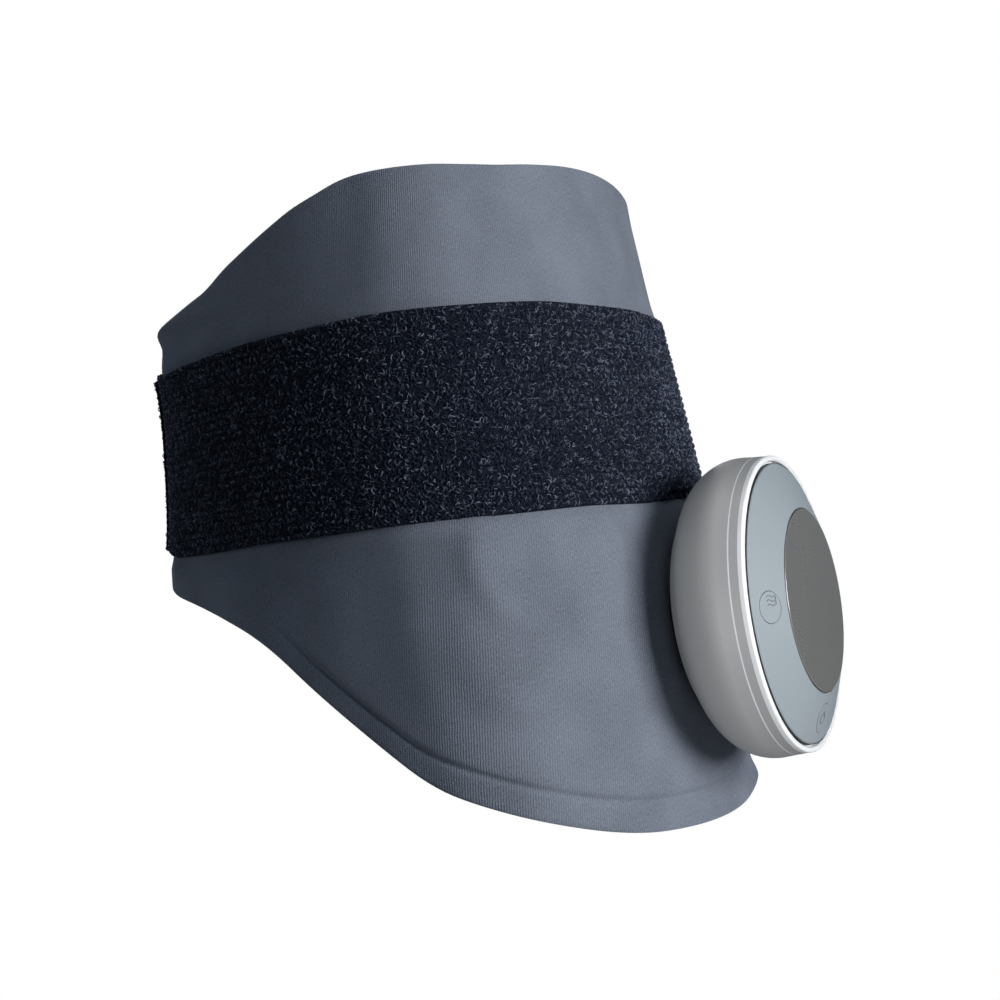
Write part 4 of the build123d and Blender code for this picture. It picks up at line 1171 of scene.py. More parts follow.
@dataclass
class HeatPad:
    """The padded heater behind the front, crowned, with a sewn border and a ring round each massage disc."""

    form: WrapForm
    relief: Relief
    finishes: Finishes
    outside: float = -5.75
    inside: float = -11.4
    crown: float = 1.6
    low: float = -51.0
    high: float = 44.0
    side_turn: float = 75.5
    corner: float = 11.0
    corner_keep: float = 0.4
    border: float = 6.0
    edge_thickness: float = 2.2
    edge_fall: float = 1.6
    crown_reach: float = 26.0
    ring_past: float = 1.5
    ring_width: float = 1.3
    ring_press: float = 1.3
    step: float = 1.5
    seam_inset: float = 7.0
    seam_corner: float = 7.0
    seam_width: float = 1.1
    seam_press: float = 0.9
    seam_turns: int = 9
    thread_proud: float = 0.1

    def skin(self, run: np.ndarray, height: np.ndarray,
             from_edge: np.ndarray) -> tuple[np.ndarray, np.ndarray]:
        """The depths of the pad's outer and inner faces.

        Args:
            run: Places round the outline.
            height: Heights.
            from_edge: How far each place is from the pad's edge.

        Returns:
            The outer depth and the inner depth.
        """
        full = np.sqrt(np.clip(1 - (1 - np.clip(from_edge / self.border, 0, 1)) ** 2, 0, 1))
        away = np.hypot(np.abs(run) - self.form.run_at(self.relief.disc_turn), height - self.relief.disc_z)
        ring = np.exp(-(((away - self.relief.disc_radius - self.ring_past) / self.ring_width) ** 2))
        seam = np.exp(-(((from_edge - self.seam_inset) / self.seam_width) ** 2))
        swell = self.crown * smooth(from_edge / self.crown_reach)
        edge = self.outside - self.edge_thickness
        into = edge - (edge - self.inside) * full - swell + self.ring_press * ring + self.seam_press * seam
        return self.outside - self.edge_fall * (1 - full), into

    def seam(self) -> np.ndarray:
        """Points of the stitched line round the pad, in millimetres."""
        across = float(self.form.run_at(self.side_turn)) - self.seam_inset
        low, high = self.low + self.seam_inset, self.high - self.seam_inset
        radius = self.seam_corner
        centres = ((across, high), (-across, high), (-across, low), (across, low))
        line = []
        for quarter, (x, z) in enumerate(centres):
            centre = (x - math.copysign(radius, x), z - radius if z > 0 else z + radius)
            for turn in np.linspace(quarter, quarter + 1, self.seam_turns) * math.pi / 2:
                line.append((centre[0] + radius * math.cos(turn), centre[1] + radius * math.sin(turn)))
        line.append(line[0])
        run, height = (np.array(values) for values in zip(*line))
        length = np.concatenate([[0.0], np.cumsum(np.hypot(np.diff(run), np.diff(height)))])
        even = np.arange(0.0, length[-1], self.step)
        run, height = np.interp(even, length, run), np.interp(even, length, height)
        _, into = self.skin(run, height, np.full_like(run, self.seam_inset))
        return self.form.point(run, height, into - self.thread_proud)

    def build(self, stitches: StitchRow) -> None:
        """Makes the pad and its stitched border, and puts them on the front."""
        end = self.form.run_at(self.side_turn)
        count = round(2 * end / self.step)
        run = end * np.sin(np.linspace(-math.pi / 2, math.pi / 2, count + 1))
        run = (run + np.linspace(-end, end, count + 1)) / 2
        left = np.clip(end - np.abs(run), 0.0, self.corner)
        inset = self.corner - np.sqrt(np.maximum(self.corner**2 - (self.corner - left) ** 2, 0.0))
        inset = np.minimum(inset, self.corner - self.corner_keep)
        rows = round((self.high - self.low) / self.step)
        share = 0.5 - 0.5 * np.cos(np.linspace(0, math.pi, rows + 1))
        share = (share + np.linspace(0, 1, rows + 1))[:, None] / 2
        height = self.low + inset + share * (self.high - self.low - 2 * inset)
        run = np.broadcast_to(run, height.shape)
        from_rows = np.minimum(height - self.low - inset, self.high - inset - height)
        from_edge = np.minimum(from_rows, end - np.abs(run))
        out, into = self.skin(run, height, from_edge)
        outer = self.form.point(run, height, out)
        inner = self.form.point(run, height, into)
        piece = grid_shell("heat_pad", outer, inner, np.stack([run, height], axis=-1), slice(None))
        dress(piece, self.finishes.lining)
        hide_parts("pad_cover", "pad_foam")
        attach(piece, "root")
        LOG.info("%s: %d faces", piece.name, len(piece.data.polygons))
        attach(stitches.sew("heat_pad_stitches", [self.seam()], Slot.LINING, seed=31), "root")


def run_tree(name: str, source: bpy.types.Object, tree: bpy.types.NodeTree,
             values: dict[str, Any]) -> bpy.types.Object:
    """Runs a Geometry Nodes tree on an object and makes the result a plain mesh.

    Args:
        name: The new piece's name.
        source: The object that the tree works on, which is removed.
        tree: The tree.
        values: Values for the tree's inputs, by name.

    Returns:
        The new piece.
    """
    modifier = source.modifiers.new(tree.name, "NODES")
    modifier.node_group = tree
    for item in tree.interface.items_tree:
        if item.in_out == "INPUT" and item.name in values:
            modifier[item.identifier] = values[item.name]
    return bake_modifiers(name, source)


def random_number(desk: NodeDesk, low: float, high: float, seed: Any) -> bpy.types.NodeSocket:
    """A random number from low to high for each point, from a fixed seed or a seed's socket."""
    return desk.add("FunctionNodeRandomValue", {2: low, 3: high, 8: seed}, data_type="FLOAT").outputs[1]


def finish_instances(desk: NodeDesk, placed: bpy.types.NodeSocket, seed: Any, material: bpy.types.NodeSocket,
                     out: bpy.types.NodeSocket) -> None:
    """Ends a tree: gives each instance a shade, makes the instances real and sets their material.

    Args:
        desk: The tree's desk.
        placed: The instances.
        seed: The seed of the shades.
        material: The material's socket.
        out: The tree's output socket.
    """
    shade = random_number(desk, 0.0, 1.0, seed)
    inputs = {"Geometry": placed, "Name": SHADE, "Value": shade}
    shaded = desk.add("GeometryNodeStoreNamedAttribute", inputs, data_type="FLOAT", domain="INSTANCE")
    real = desk.add("GeometryNodeRealizeInstances", {0: shaded.outputs[0]})
    done = desk.add("GeometryNodeSetMaterial", {"Geometry": real.outputs[0], "Material": material})
    desk.tree.links.new(done.outputs[0], out)


class StitchRow:
    """Rows of sewn stitches laid along lines by a Geometry Nodes tree."""

    def __init__(self, material: bpy.types.Material) -> None:
        """Builds the tree that every seam uses.

        Args:
            material: The thread's material.
        """
        self.material = material
        self.tree = bpy.data.node_groups.new("Stitch row", "GeometryNodeTree")
        desk = NodeDesk(self.tree)
        ins, outs = desk.sockets(
            {
                "Seam": ("NodeSocketGeometry", None),
                "Stitch pitch": ("NodeSocketFloat", 0.0027),
                "Stitch length": ("NodeSocketFloat", 0.0021),
                "Thread radius": ("NodeSocketFloat", 0.00021),
                "Seed": ("NodeSocketInt", 21),
                "Thread": ("NodeSocketMaterial", None),
            },
            {"Stitches": "NodeSocketGeometry"},
        )
        get = ins.outputs
        shortest, longest = 0.9, 1.08
        line = desk.add("GeometryNodeMeshToCurve", {0: get["Seam"]}).outputs[0]
        inputs = {"Curve": line, "Length": get["Stitch pitch"]}
        spots = desk.add("GeometryNodeCurveToPoints", inputs, mode="LENGTH")
        inputs = {"Vector": spots.outputs["Tangent"]}
        along = desk.add("FunctionNodeAlignRotationToVector", inputs, axis="Z").outputs[0]
        bead = desk.add("GeometryNodeMeshUVSphere", {"Segments": 6, "Rings": 5, "Radius": 1.0}).outputs[0]
        half = desk.math("MULTIPLY", get["Stitch length"], 0.5)
        reach = desk.math("MULTIPLY", half, random_number(desk, shortest, longest, get["Seed"]))
        inputs = {0: get["Thread radius"], 1: get["Thread radius"], 2: reach}
        size = desk.add("ShaderNodeCombineXYZ", inputs).outputs[0]
        placed = desk.add(
            "GeometryNodeInstanceOnPoints",
            {"Points": spots.outputs["Points"], "Instance": bead, "Rotation": along, "Scale": size},
        )
        finish_instances(desk, placed.outputs[0], get["Seed"], get["Thread"], outs.inputs[0])

    def sew(self, name: str, lines: list[np.ndarray], slot: Slot, seed: int) -> bpy.types.Object:
        """Lays stitches along lines.

        Args:
            name: The new piece's name.
            lines: Each line's points, in millimetres.
            slot: The record's slot that the piece belongs to; not used.
            seed: The seed of the stitches' lengths and shades.

        Returns:
            The stitches, as a plain mesh.
        """
        points, edges = [], []
        for line in lines:
            first = len(points)
            points += (line * MM).tolist()
            edges += [(first + index, first + index + 1) for index in range(len(line) - 1)]
        mesh = bpy.data.meshes.new(name)
        mesh.from_pydata(points, edges, [])
        values = {"Thread": self.material, "Seed": seed}
        piece = run_tree(name, mesh_object(f"{name}_line", mesh), self.tree, values)
        LOG.info("%s: %d faces", piece.name, len(piece.data.polygons))
        return piece


class LoopPile:
    """Curled loops of yarn scattered over a face by a Geometry Nodes tree."""

    def __init__(self, material: bpy.types.Material) -> None:
        """Builds the tree that every length of webbing uses.

        Args:
            material: The yarn's material.
        """
        self.material = material
        self.tree = bpy.data.node_groups.new("Loop pile", "GeometryNodeTree")
        desk = NodeDesk(self.tree)
        ins, outs = desk.sockets(
            {
                "Face": ("NodeSocketGeometry", None),
                "Loops per square metre": ("NodeSocketFloat", 500000.0),
                "Loop width": ("NodeSocketFloat", 0.00098),
                "Loop height": ("NodeSocketFloat", 0.00034),
                "Yarn radius": ("NodeSocketFloat", 0.000125),
                "Lean": ("NodeSocketFloat", 0.7),
                "Valley shrink": ("NodeSocketFloat", 0.45),
                "Seed": ("NodeSocketInt", 7),
                "Yarn": ("NodeSocketMaterial", None),
            },
            {"Pile": "NodeSocketGeometry"},
        )
        get = ins.outputs
        spread = desk.add(
            "GeometryNodeDistributePointsOnFaces",
            {"Mesh": get["Face"], "Density": get["Loops per square metre"], "Seed": get["Seed"]},
            distribute_method="RANDOM",
        )
        foot, smallest, largest = -0.0001, 0.65, 1.3
        turn_seed, tilt_seed, size_seed, shade_seed = 11, 12, 13, 14
        half = desk.math("MULTIPLY", get["Loop width"], 0.5)
        inputs = {0: desk.math("MULTIPLY", half, -1.0), 2: foot}
        start = desk.add("ShaderNodeCombineXYZ", inputs).outputs[0]
        tall = desk.math("MULTIPLY", get["Loop height"], 2.0)
        middle = desk.add("ShaderNodeCombineXYZ", {0: desk.math("MULTIPLY", half, 0.5), 2: tall}).outputs[0]
        end = desk.add("ShaderNodeCombineXYZ", {0: half, 2: foot}).outputs[0]
        inputs = {"Resolution": 2, "Start": start, "Middle": middle, "End": end}
        arc = desk.add("GeometryNodeCurveQuadraticBezier", inputs)
        thread = desk.add("GeometryNodeCurvePrimitiveCircle", {"Resolution": 3, "Radius": get["Yarn radius"]})
        inputs = {"Curve": arc.outputs[0], "Profile Curve": thread.outputs[0], "Fill Caps": True}
        loop = desk.add("GeometryNodeCurveToMesh", inputs)
        turn = random_number(desk, 0.0, math.tau, turn_seed)
        tip = random_number(desk, -1.0, 1.0, tilt_seed)
        tilt = desk.math("MULTIPLY", tip, get["Lean"])
        spin = desk.add("ShaderNodeCombineXYZ", {0: tilt, 2: turn}).outputs[0]
        spun = desk.add("FunctionNodeEulerToRotation", {0: spin}).outputs[0]
        facing = desk.add(
            "FunctionNodeRotateRotation", {0: spread.outputs["Rotation"], 1: spun}, rotation_space="LOCAL"
        ).outputs[0]
        crest = desk.add("GeometryNodeInputNamedAttribute", {"Name": CREST}, data_type="FLOAT").outputs[0]
        least = desk.math("SUBTRACT", 1.0, get["Valley shrink"])
        low = desk.math("MULTIPLY_ADD", crest, get["Valley shrink"], least)
        size = desk.math("MULTIPLY", low, random_number(desk, smallest, largest, size_seed))
        spots = spread.outputs["Points"]
        inputs = {"Points": spots, "Instance": loop.outputs[0], "Rotation": facing, "Scale": size}
        placed = desk.add("GeometryNodeInstanceOnPoints", inputs)
        finish_instances(desk, placed.outputs[0], shade_seed, get["Yarn"], outs.inputs[0])

    def grow(self, name: str, face: bpy.types.Object, density: float, seed: int) -> bpy.types.Object:
        """Grows pile on a face and makes it a plain mesh.

        Args:
            name: The new piece's name.
            face: The object whose faces carry the pile, which is removed.
            density: Loops per square metre.
            seed: The seed of the loops' places.

        Returns:
            The new piece.
        """
        values = {"Yarn": self.material, "Loops per square metre": density, "Seed": seed}
        piece = run_tree(name, face, self.tree, values)
        LOG.info("%s: %d faces", piece.name, len(piece.data.polygons))
        return piece


def bake_modifiers(name: str, source: bpy.types.Object) -> bpy.types.Object:
    """Turns an object with its modifiers into a plain mesh object and removes it.

    Args:
        name: The new object's name.
        source: The object with the modifiers.

    Returns:
        The new object, shaded smooth.
    """
    depsgraph = bpy.context.evaluated_depsgraph_get()
    evaluated = source.evaluated_get(depsgraph)
    mesh = bpy.data.meshes.new_from_object(evaluated, preserve_all_data_layers=True, depsgraph=depsgraph)
    mesh.name = name
    mesh.shade_smooth()
    piece = mesh_object(name, mesh)
    bpy.data.objects.remove(source, do_unlink=True)
    return piece


@dataclass
class Strap:
    """The loop-pile strap: two lengths round the sleeve, a sewn hem and the free end with its hook patch."""

    form: WrapForm
    finishes: Finishes
    hinges: Hinges
    pile: LoopPile
    stitches: StitchRow
    start_run: float = 217.7
    end_run: float = -229.6
    cut_run: float = 92.0
    hem_start: float = -218.6
    tab_start: float = -6.9
    hem_face: float = 3.0
    tab_end: float = 80.0
    tab_corner: float = 12.0
    tab_face: float = 2.9
    tab_back: float = 1.42
    rows: int = 131
    face: float = -0.6
    back: float = -1.96
    ribs: int = 26
    rib_rise: float = 0.4
    rib_power: float = 0.7
    rib_margin: float = 0.4
    selvage: float = 1.4
    edge_round: float = 1.0
    edge_fall: float = 0.8
    bevel_share: float = 0.3
    corner_keep: float = 0.3
    sways: tuple = ((0.18, 21.0, 0.0), (0.1, 7.3, 1.0))
    column_step: float = 1.9
    density: float = 2100000.0
    front_dip: float = 1.0
    dip_reach: float = 26.0
    end_rise: float = 2.6
    end_turn: float = 180.0
    end_fade: float = 24.0
    far_fade: float = 45.0
    worn_start: float = 170.0
    worn_share: float = 0.8
    seam_inset: float = 1.8
    seam_points: int = 161
    far_box: float = 9.0
    hem_back: float = -0.5
    hem_columns: int = 12
    bend_columns: int = 12
    tab_columns: int = 40
    patch_length: float = 34.0

    def climb(self, runs: np.ndarray) -> np.ndarray:
        """How far the strap climbs toward the back, where its hem and its free end are."""
        near = smooth((-runs - self.end_turn) / self.end_fade)
        return self.end_rise * (near + smooth((runs - self.end_turn) / self.far_fade))

    def profile(self, count: int) -> tuple[np.ndarray, np.ndarray, np.ndarray]:
        """The strap's section: shares across its width, its ribs below the flat face and its edges' fall."""
        share = np.linspace(0.0, 1.0, count)
        width = self.form.strap_high - self.form.strap_low
        edge = np.minimum(share, 1 - share) * width
        ribs = np.abs(np.sin(math.pi * self.ribs * share)) ** self.rib_power
        rise = self.rib_rise * (ribs - 1.0) * smooth((edge - self.rib_margin) / self.selvage)
        fall = 1 - np.sqrt(np.clip(1 - (1 - np.clip(edge / self.edge_round, 0, 1)) ** 2, 0, 1))
        return share, rise, self.edge_fall * fall

    def grids(self, runs: np.ndarray, out: float, into: float, corner: float) -> tuple[np.ndarray, ...]:
        """The webbing's outer and inner points and their flat places.

        Args:
            runs: Runs of its columns.
            out: The depth of its outer face.
            into: The depth of its inner face.
            corner: The radius of the corners at the last column.

        Returns:
            The outer grid, the inner grid and the cloth grid.
        """
        share, ribs, fall = self.profile(self.rows)
        worn = self.worn_share * smooth((np.abs(runs) - self.worn_start) / self.end_fade)
        ribbed = ribs[:, None] * (1 - worn) - fall[:, None]
        left = np.clip(np.abs(runs - runs[-1]), 0.0, max(corner, TINY))
        inset = corner - np.sqrt(np.maximum(corner**2 - (corner - left) ** 2, 0.0)) if corner else 0.0 * runs
        inset = np.minimum(inset, max(corner - self.corner_keep, 0.0))
        sway = sum(rise * np.sin(runs / length + phase) for rise, length, phase in self.sways)
        sway = sway + self.climb(runs)
        dip = self.front_dip * np.exp(-((runs / self.dip_reach) ** 2))
        low = self.form.strap_low + inset + sway - dip
        high = self.form.strap_high - inset + sway
        height = low + share[:, None] * (high - low)
        run = np.broadcast_to(runs, height.shape)
        wing = self.form.wing_lift(run, height)
        bevel = self.bevel_share * np.clip(-ribbed - self.rib_rise, 0, None)
        outer = self.form.point(run, height, out + ribbed + wing)
        inner = self.form.point(run, height, into + bevel + wing)
        return outer, inner, np.stack([run, height], axis=-1)

    def ribbon_face(self, name: str, runs: np.ndarray, out: float, span: slice,
                    corner: float = 0.0) -> bpy.types.Object:
        """The bare outer face of a length of webbing, for its pile to grow on."""
        outer, _, _ = self.grids(runs, out, out, corner)
        _, ribs, fall = self.profile(self.rows)
        keep = slice(1, self.rows - 1)
        crest = np.clip(1 + (ribs - fall)[keep] / self.rib_rise, 0.0, 1.0)
        return grid_face(name, outer[keep][:, span], crest)

    def ribbon(self, name: str, runs: np.ndarray, out: float, into: float, span: slice,
               corner: float = 0.0) -> bpy.types.Object:
        """A length of webbing as a closed mesh.

        Args:
            name: The webbing's name.
            runs: Runs of its columns.
            out: The depth of its outer face.
            into: The depth of its inner face.
            span: The columns to use.
            corner: The radius of the corners at the last column.

        Returns:
            The webbing.
        """
        outer, inner, cloth = self.grids(runs, out, into, corner)
        web = grid_shell(name, outer, inner, cloth, span)
        dress(web, self.finishes.webbing)
        return web

    def piles(self, names: tuple[str, ...], runs: np.ndarray, out: float, span: slice, seed: int,
              corner: float = 0.0) -> list[bpy.types.Object]:
        """Grows a length's pile, cut into stretches of about the same length, one for each name.

        Args:
            names: The stretches, in the order of their columns.
            runs: Runs of the webbing's columns.
            out: The depth of its outer face.
            span: The columns to use.
            seed: The first stretch's seed.
            corner: The radius of the corners at the last column.

        Returns:
            The piles.
        """
        start, stop, _ = span.indices(len(runs))
        cuts = np.linspace(start, stop - 1, len(names) + 1).round().astype(int)
        grown = []
        for order, name in enumerate(names):
            stretch = slice(cuts[order], cuts[order + 1] + 1)
            face = self.ribbon_face(f"strap_{name}_face", runs, out, stretch, corner)
            grown.append(self.pile.grow(f"strap_{name}_pile", face, self.density, seed=seed + order))
        return grown

    def box_seam(self, start: float, end: float, depth: float) -> np.ndarray:
        """A stitched box across the webbing, in millimetres.

        Args:
            start: The run of one side.
            end: The run of the other side.
            depth: The depth of the webbing's face.

        Returns:
            The points of its closed line.
        """
        low, high = self.form.strap_low + self.seam_inset, self.form.strap_high - self.seam_inset
        corners = np.array([(start, low), (start, high), (end, high), (end, low), (start, low)])
        share = np.linspace(0, len(corners) - 1, self.seam_points)
        run, height = (np.interp(share, range(len(corners)), column) for column in corners.T)
        height = height + self.climb(run)
        return self.form.point(run, height, depth + self.form.wing_lift(run, height))

    def build(self) -> None:
        """Makes the webbing, its pile, the hem with its stitches and the free end."""
        step = self.column_step
        far = np.linspace(self.start_run, self.cut_run, round((self.start_run - self.cut_run) / step) + 1)
        near = np.linspace(self.cut_run, self.end_run, round((self.cut_run - self.end_run) / step) + 1)
        runs = np.concatenate([far, near[1:]])[::-1]
        self.build_near(runs, len(near) - 1)
        self.build_far(runs, len(near) - 1)
        self.build_hem()
        self.build_free_end()

    def build_near(self, runs: np.ndarray, cut: int) -> None:
        """Makes the length from the near wing's end to the cut and bakes its transform."""
        span = slice(0, cut + 1)
        web = self.ribbon("strap_near", runs, self.face, self.back, span)
        piles = self.piles(("near", "side", "corner", "front"), runs, self.face, span, seed=11)
        for piece in (web, *piles):
            self.hinges.wing(piece)
        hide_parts("strap_front", "strap_side")

    def build_far(self, runs: np.ndarray, cut: int) -> None:
        """Makes the length from the cut to the far wing, where it ends in a stitched box."""
        span = slice(cut, None)
        web = self.ribbon("strap_far", runs, self.face, self.back, span)
        piles = self.piles(("far", "far_end"), runs, self.face, span, seed=21)
        end = self.start_run - self.seam_inset
        box = self.box_seam(end, end - self.far_box, self.face)
        seam = self.stitches.sew("strap_far_stitches", [box], Slot.WEBBING, seed=32)
        for piece in (web, *piles, seam):
            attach(piece, "root")
        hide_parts("strap_front")

    def build_hem(self) -> None:
        """Makes the hem at the near wing's end, where the free end is sewn on."""
        hem = np.linspace(self.end_run, self.hem_start, self.hem_columns)
        web = self.ribbon("strap_hem_fold", hem, self.hem_face, self.hem_back, slice(None))
        piles = self.piles(("hem",), hem, self.hem_face, slice(None), seed=5)
        box = self.box_seam(self.end_run + self.seam_inset, self.hem_start - self.seam_inset, self.hem_face)
        seam = self.stitches.sew("strap_hem_stitches", [box], Slot.WEBBING, seed=33)
        for piece in (web, *piles, seam):
            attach(piece, "near_wing")
        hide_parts("strap_hem")

    def build_free_end(self) -> None:
        """Makes the free end, with rounded corners and the stitches that hold its hook patch."""
        half = self.form.half_girth()
        bend = self.tab_corner * (1 - np.cos(np.linspace(math.pi / 2, 0, self.bend_columns)))
        straight = np.linspace(self.tab_start, self.tab_end - self.tab_corner, self.tab_columns)
        tab = half - np.concatenate([straight[:-1], self.tab_end - bend])
        web = self.ribbon("strap_free_end", tab, self.tab_face, self.tab_back, slice(None), self.tab_corner)
        piles = self.piles(("free_end",), tab, self.tab_face, slice(None), seed=6, corner=self.tab_corner)
        start = half - self.tab_end + self.tab_corner
        box = self.box_seam(start, start + self.patch_length, self.tab_face)
        seam = self.stitches.sew("strap_patch_stitches", [box], Slot.WEBBING, seed=34)
        for piece in (web, *piles, seam):
            self.hinges.peel(piece)
        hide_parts("strap_tab")


def grid_face(name: str, points: np.ndarray, crest: np.ndarray) -> bpy.types.Object:
    """An open face through a grid of points given in millimetres, with how near a rib's crest each row is."""
    rows, cols = points.shape[:2]
    face = grid_faces(rows, cols)
    mesh = bpy.data.meshes.new(name)
    mesh.from_pydata((points.reshape(-1, 3) * MM).tolist(), [], face.tolist())
    mesh.update()
    middle = mesh.polygons[len(face) // 2]
    outward = Vector((middle.center.x, middle.center.y, 0.0))
    if middle.normal.dot(outward) < 0:
        mesh.flip_normals()
    mesh.attributes.new(CREST, "FLOAT", "POINT").data.foreach_set("value", np.repeat(crest, cols))
    return mesh_object(name, mesh)


@dataclass
class KeySigns:
    """Fine raised signs on the keys: waves for heat, a broken ring for power, a dot in arcs for massage.

    Their lines are drawn in millimetres round the middle of each key's top.
    """

    pod: PodPlace
    material: bpy.types.Material
    line: float = 0.12
    proud: float = 0.02
    points: int = 25
    heat_angle: float = 178.0
    power_angle: float = 266.0
    massage_angle: float = 2.0
    wave_span: tuple[float, float] = (-0.8, 1.8)
    wave_levels: tuple[float, ...] = (0.5, 1.5, 2.5)
    wave_rise: float = 0.26
    wave_rate: float = 2.4
    wave_bar: tuple = ((2.25, 0.4), (2.25, 2.6))
    ring_radius: float = 1.5
    ring_turns: tuple[float, float] = (125.0, 415.0)
    ring_bar: tuple = ((0.0, 0.5), (0.0, 1.9))
    dot_radius: float = 0.4
    arc_radii: tuple[float, float] = (1.2, 2.1)
    arc_half: float = 42.0

    def arc(self, radius: float, start: float, end: float) -> list[tuple[float, float]]:
        """Points of an arc round the sign's middle, between two angles in degrees."""
        turns = np.radians(np.linspace(start, end, self.points))
        return [(radius * math.cos(turn), radius * math.sin(turn)) for turn in turns]

    def waves(self) -> list[list[tuple[float, float]]]:
        """Three waves with an upright bar beside them."""
        start, end = self.wave_span
        along = np.linspace(start, end, self.points)
        rows = [
            [(x, up + self.wave_rise * math.sin(self.wave_rate * (x - start))) for x in along]
            for up in self.wave_levels
        ]
        return [*rows, list(self.wave_bar)]

    def broken_ring(self) -> list[list[tuple[float, float]]]:
        """A ring that is open at the top, with an upright bar in the gap."""
        return [self.arc(self.ring_radius, *self.ring_turns), list(self.ring_bar)]

    def dot_in_arcs(self) -> list[list[tuple[float, float]]]:
        """A small ring between two pairs of arcs."""
        sides = [(radius, side) for radius in self.arc_radii for side in (0, 180)]
        pairs = [self.arc(radius, side - self.arc_half, side + self.arc_half) for radius, side in sides]
        return [self.arc(self.dot_radius, 0, 360), *pairs]

    def build(self) -> None:
        """Makes each sign and puts it on its key."""
        signs = {
            "heat_key": (self.heat_angle, self.waves()),
            "power_key": (self.power_angle, self.broken_ring()),
            "massage_key": (self.massage_angle, self.dot_in_arcs()),
        }
        for key, (angle, lines) in signs.items():
            place = self.pod.key_frame(angle)
            curve = bpy.data.curves.new(f"{key}_sign", "CURVE")
            curve.dimensions = "3D"
            curve.bevel_depth = self.line * MM
            curve.bevel_resolution = 2
            curve.use_fill_caps = True
            for line in lines:
                spline = curve.splines.new("POLY")
                spline.points.add(len(line) - 1)
                for point, (x, y) in zip(spline.points, line):
                    point.co = (*(place @ Vector((x, y, self.proud)) * MM), 1.0)
            sign = bake_modifiers(f"{key}_sign", mesh_object(f"{key}_lines", curve))
            dress(sign, self.material)
            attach(sign, key)
            LOG.info("%s: %d faces", sign.name, len(sign.data.polygons))


@dataclass
class FacePaintedShadeRing:
    """A thin dark ring round the foot of the face plate: painted shade for the plate's shaded wall and the
    gap beside it.
    """

    pod: PodPlace
    material: bpy.types.Material
    thickness: float = 0.12
    height: float = 0.85
    below: float = 0.12
    sides: int = 180

    def build(self) -> None:
        """Makes the painted shade ring and puts it on the pod."""
        right, above, out = (np.array(axis) for axis in self.pod.frame())
        radius, edge = self.pod.face_edge
        top = edge - self.below
        section = ((radius, top - self.height), (radius + self.thickness, top - self.height),
                   (radius + self.thickness, top), (radius, top))
        turn = np.linspace(0, math.tau, self.sides, endpoint=False)
        spread = np.cos(turn)[:, None] * right + np.sin(turn)[:, None] * above
        points = [np.array(self.pod.back) + reach * spread + level * out for reach, level in section]
        mesh = bpy.data.meshes.new("face_painted_shade_ring")
        faces = []
        for lane in range(len(section)):
            for index in range(self.sides):
                after, beside = (index + 1) % self.sides, (lane + 1) % len(section)
                corners = ((lane, index), (lane, after), (beside, after), (beside, index))
                faces.append([row * self.sides + column for row, column in corners])
        mesh.from_pydata((np.concatenate(points) * MM).tolist(), [], faces)
        painted_shade_ring = mesh_object("face_painted_shade_ring", mesh)
        dress(painted_shade_ring, self.material)
        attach(painted_shade_ring, "pod")


@dataclass(frozen=True)
class Lamp:
    """A square soft light that looks at the origin: its place and side in millimetres, its power in watts."""

    name: str
    place: tuple[float, float, float]
    size: float
    power: float

    def build(self) -> bpy.types.Object:
        """Makes the light and returns its object."""
        data = bpy.data.lights.new(self.name, "AREA")
        data.size = self.size * MM
        data.energy = self.power
        lamp = bpy.data.objects.new(self.name, data)
        lamp.location = Vector(self.place) * MM
        lamp.rotation_mode = "QUATERNION"
        lamp.rotation_quaternion = Vector(self.place).to_track_quat("Z", "Y")
        bpy.context.scene.collection.objects.link(lamp)
        return lamp


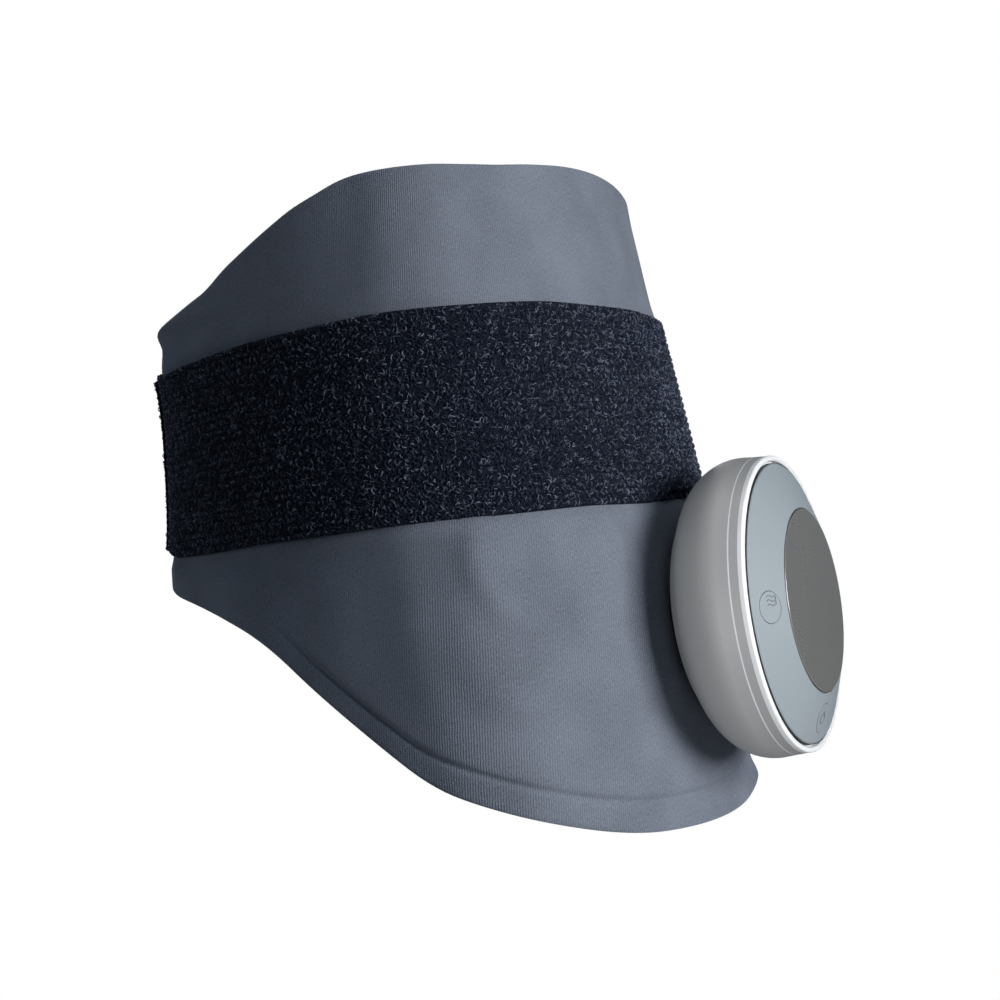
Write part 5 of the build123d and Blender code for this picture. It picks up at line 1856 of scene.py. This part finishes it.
@dataclass
class Studio:
    """The camera of the photograph, plain soft lights and a pale floor."""

    camera_place: tuple[float, float, float] = (-367.3, -210.8, -11.0)
    heading: tuple[float, float] = (0.8886, 0.4586)
    pitch: float = 1.71
    roll: float = 6.80
    focal_share: float = 1.52
    sensor: float = 36.0
    near_clip: float = 10.0
    lamps: tuple[Lamp, ...] = (
        Lamp("Key light", (-135.0, -635.0, 55.0), 260.0, 3.75),
        Lamp("Top light", (-60.0, -40.0, 1000.0), 400.0, 2.2),
        Lamp("Back light", (850.0, 620.0, 420.0), 600.0, 5.0),
        Lamp("Rim light", (-470.0, 814.0, 342.0), 400.0, 0.9),
    )
    pod_lamp: Lamp = Lamp("Pod light", (-430.0, -168.0, -90.0), 200.0, 0.8)
    lit_bodies: tuple[str, ...] = ("pod", "heat_key", "massage_key", "power_key")
    ambient: Colour = (0.0005, 0.021, 0.048, 1.0)
    floor_z: float = -420.0
    floor_half: float = 6000.0
    floor_colour: Colour = (0.5, 0.5, 0.5, 1.0)
    floor_rough: float = 0.9

    def camera(self) -> None:
        """Makes the camera from the fitted view."""
        data = bpy.data.cameras.new("Camera")
        data.sensor_width = self.sensor
        data.lens = self.focal_share * self.sensor
        data.clip_start = self.near_clip * MM
        camera = bpy.data.objects.new("Camera", data)
        bpy.context.scene.collection.objects.link(camera)
        along = Vector((*self.heading, 0.0)).normalized()
        right = Vector((along.y, -along.x, 0.0))
        pitch, roll = math.radians(self.pitch), math.radians(self.roll)
        forward = along * math.cos(pitch) + Vector((0, 0, math.sin(pitch)))
        above = right.cross(forward)
        turned = right * math.cos(roll) - above * math.sin(roll)
        upward = right * math.sin(roll) + above * math.cos(roll)
        matrix = Matrix((turned, upward, -forward)).transposed().to_4x4()
        matrix.translation = Vector(self.camera_place) * MM
        camera.matrix_world = matrix
        bpy.context.scene.camera = camera

    def light_pod(self) -> None:
        """Makes the small light from the left that falls on the pod alone."""
        lamp = self.pod_lamp.build()
        lit = bpy.data.collections.new("Lit by the pod light")
        bodies = frame["record"]["behaviour"]["bodies"]
        for body in self.lit_bodies:
            for node in bodies[body]:
                lit.objects.link(frame["nodes"][node])
        lamp.light_linking.receiver_collection = lit

    def floor(self) -> None:
        """Makes the pale floor, which shows white and lights the object like pale paper."""
        half, level = self.floor_half * MM, self.floor_z * MM
        points = [(x * half, y * half, level) for x, y in ((-1, -1), (1, -1), (1, 1), (-1, 1))]
        mesh = bpy.data.meshes.new("floor")
        mesh.from_pydata(points, [], [(0, 1, 2, 3)])
        floor = mesh_object("floor", mesh)
        material, desk, shader = new_material("Pale floor")
        shader.inputs["Base Color"].default_value = self.floor_colour
        shader.inputs["Roughness"].default_value = self.floor_rough
        glow = desk.add("ShaderNodeEmission", {0: (1, 1, 1, 1), 1: 1.0})
        seen = desk.add("ShaderNodeLightPath").outputs["Is Camera Ray"]
        mixed = desk.add("ShaderNodeMixShader", {0: seen, 1: shader.outputs[0], 2: glow.outputs[0]})
        output = material.node_tree.nodes["Material Output"]
        material.node_tree.links.new(mixed.outputs[0], output.inputs["Surface"])
        dress(floor, material)

    def world(self) -> None:
        """Sets a white backdrop with a dim, slightly cool light from all round."""
        world = bpy.data.worlds.new("Studio")
        world.use_nodes = True
        bpy.context.scene.world = world
        desk = NodeDesk(world.node_tree)
        seen = desk.add("ShaderNodeLightPath").outputs["Is Camera Ray"]
        colour = desk.blend(seen, self.ambient, (1, 1, 1, 1))
        world.node_tree.links.new(colour, world.node_tree.nodes["Background"].inputs["Color"])

    def build(self) -> None:
        """Makes the whole studio."""
        self.camera()
        for lamp in self.lamps:
            lamp.build()
        self.light_pod()
        self.floor()
        self.world()
        bpy.context.scene.view_settings.view_transform = "Standard"


def corners(box: tuple[Vector, Vector]) -> list[list[float]]:
    """A box's two corners as plain lists."""
    return [list(corner) for corner in box]


def main() -> None:
    """Builds the studio and the object."""
    logging.basicConfig(level=logging.INFO, format="%(name)s: %(message)s")
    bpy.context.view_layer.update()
    Studio().build()
    form = WrapForm()
    relief = Relief(form, PodPlace())
    finishes = Finishes()
    finishes.dress_nodes()
    hinges = Hinges()
    Sleeve(form, relief, finishes, hinges).build()
    stitches = StitchRow(finishes.thread)
    HeatPad(form, relief, finishes).build(stitches)
    Strap(form, finishes, hinges, LoopPile(finishes.pile), stitches).build()
    KeySigns(relief.pod, finishes.sign).build()
    # The dark ring round the face plate is painted shade.
    FacePaintedShadeRing(relief.pod, finishes.painted_shade_ring).build()


if __name__ == "__main__":
    main()
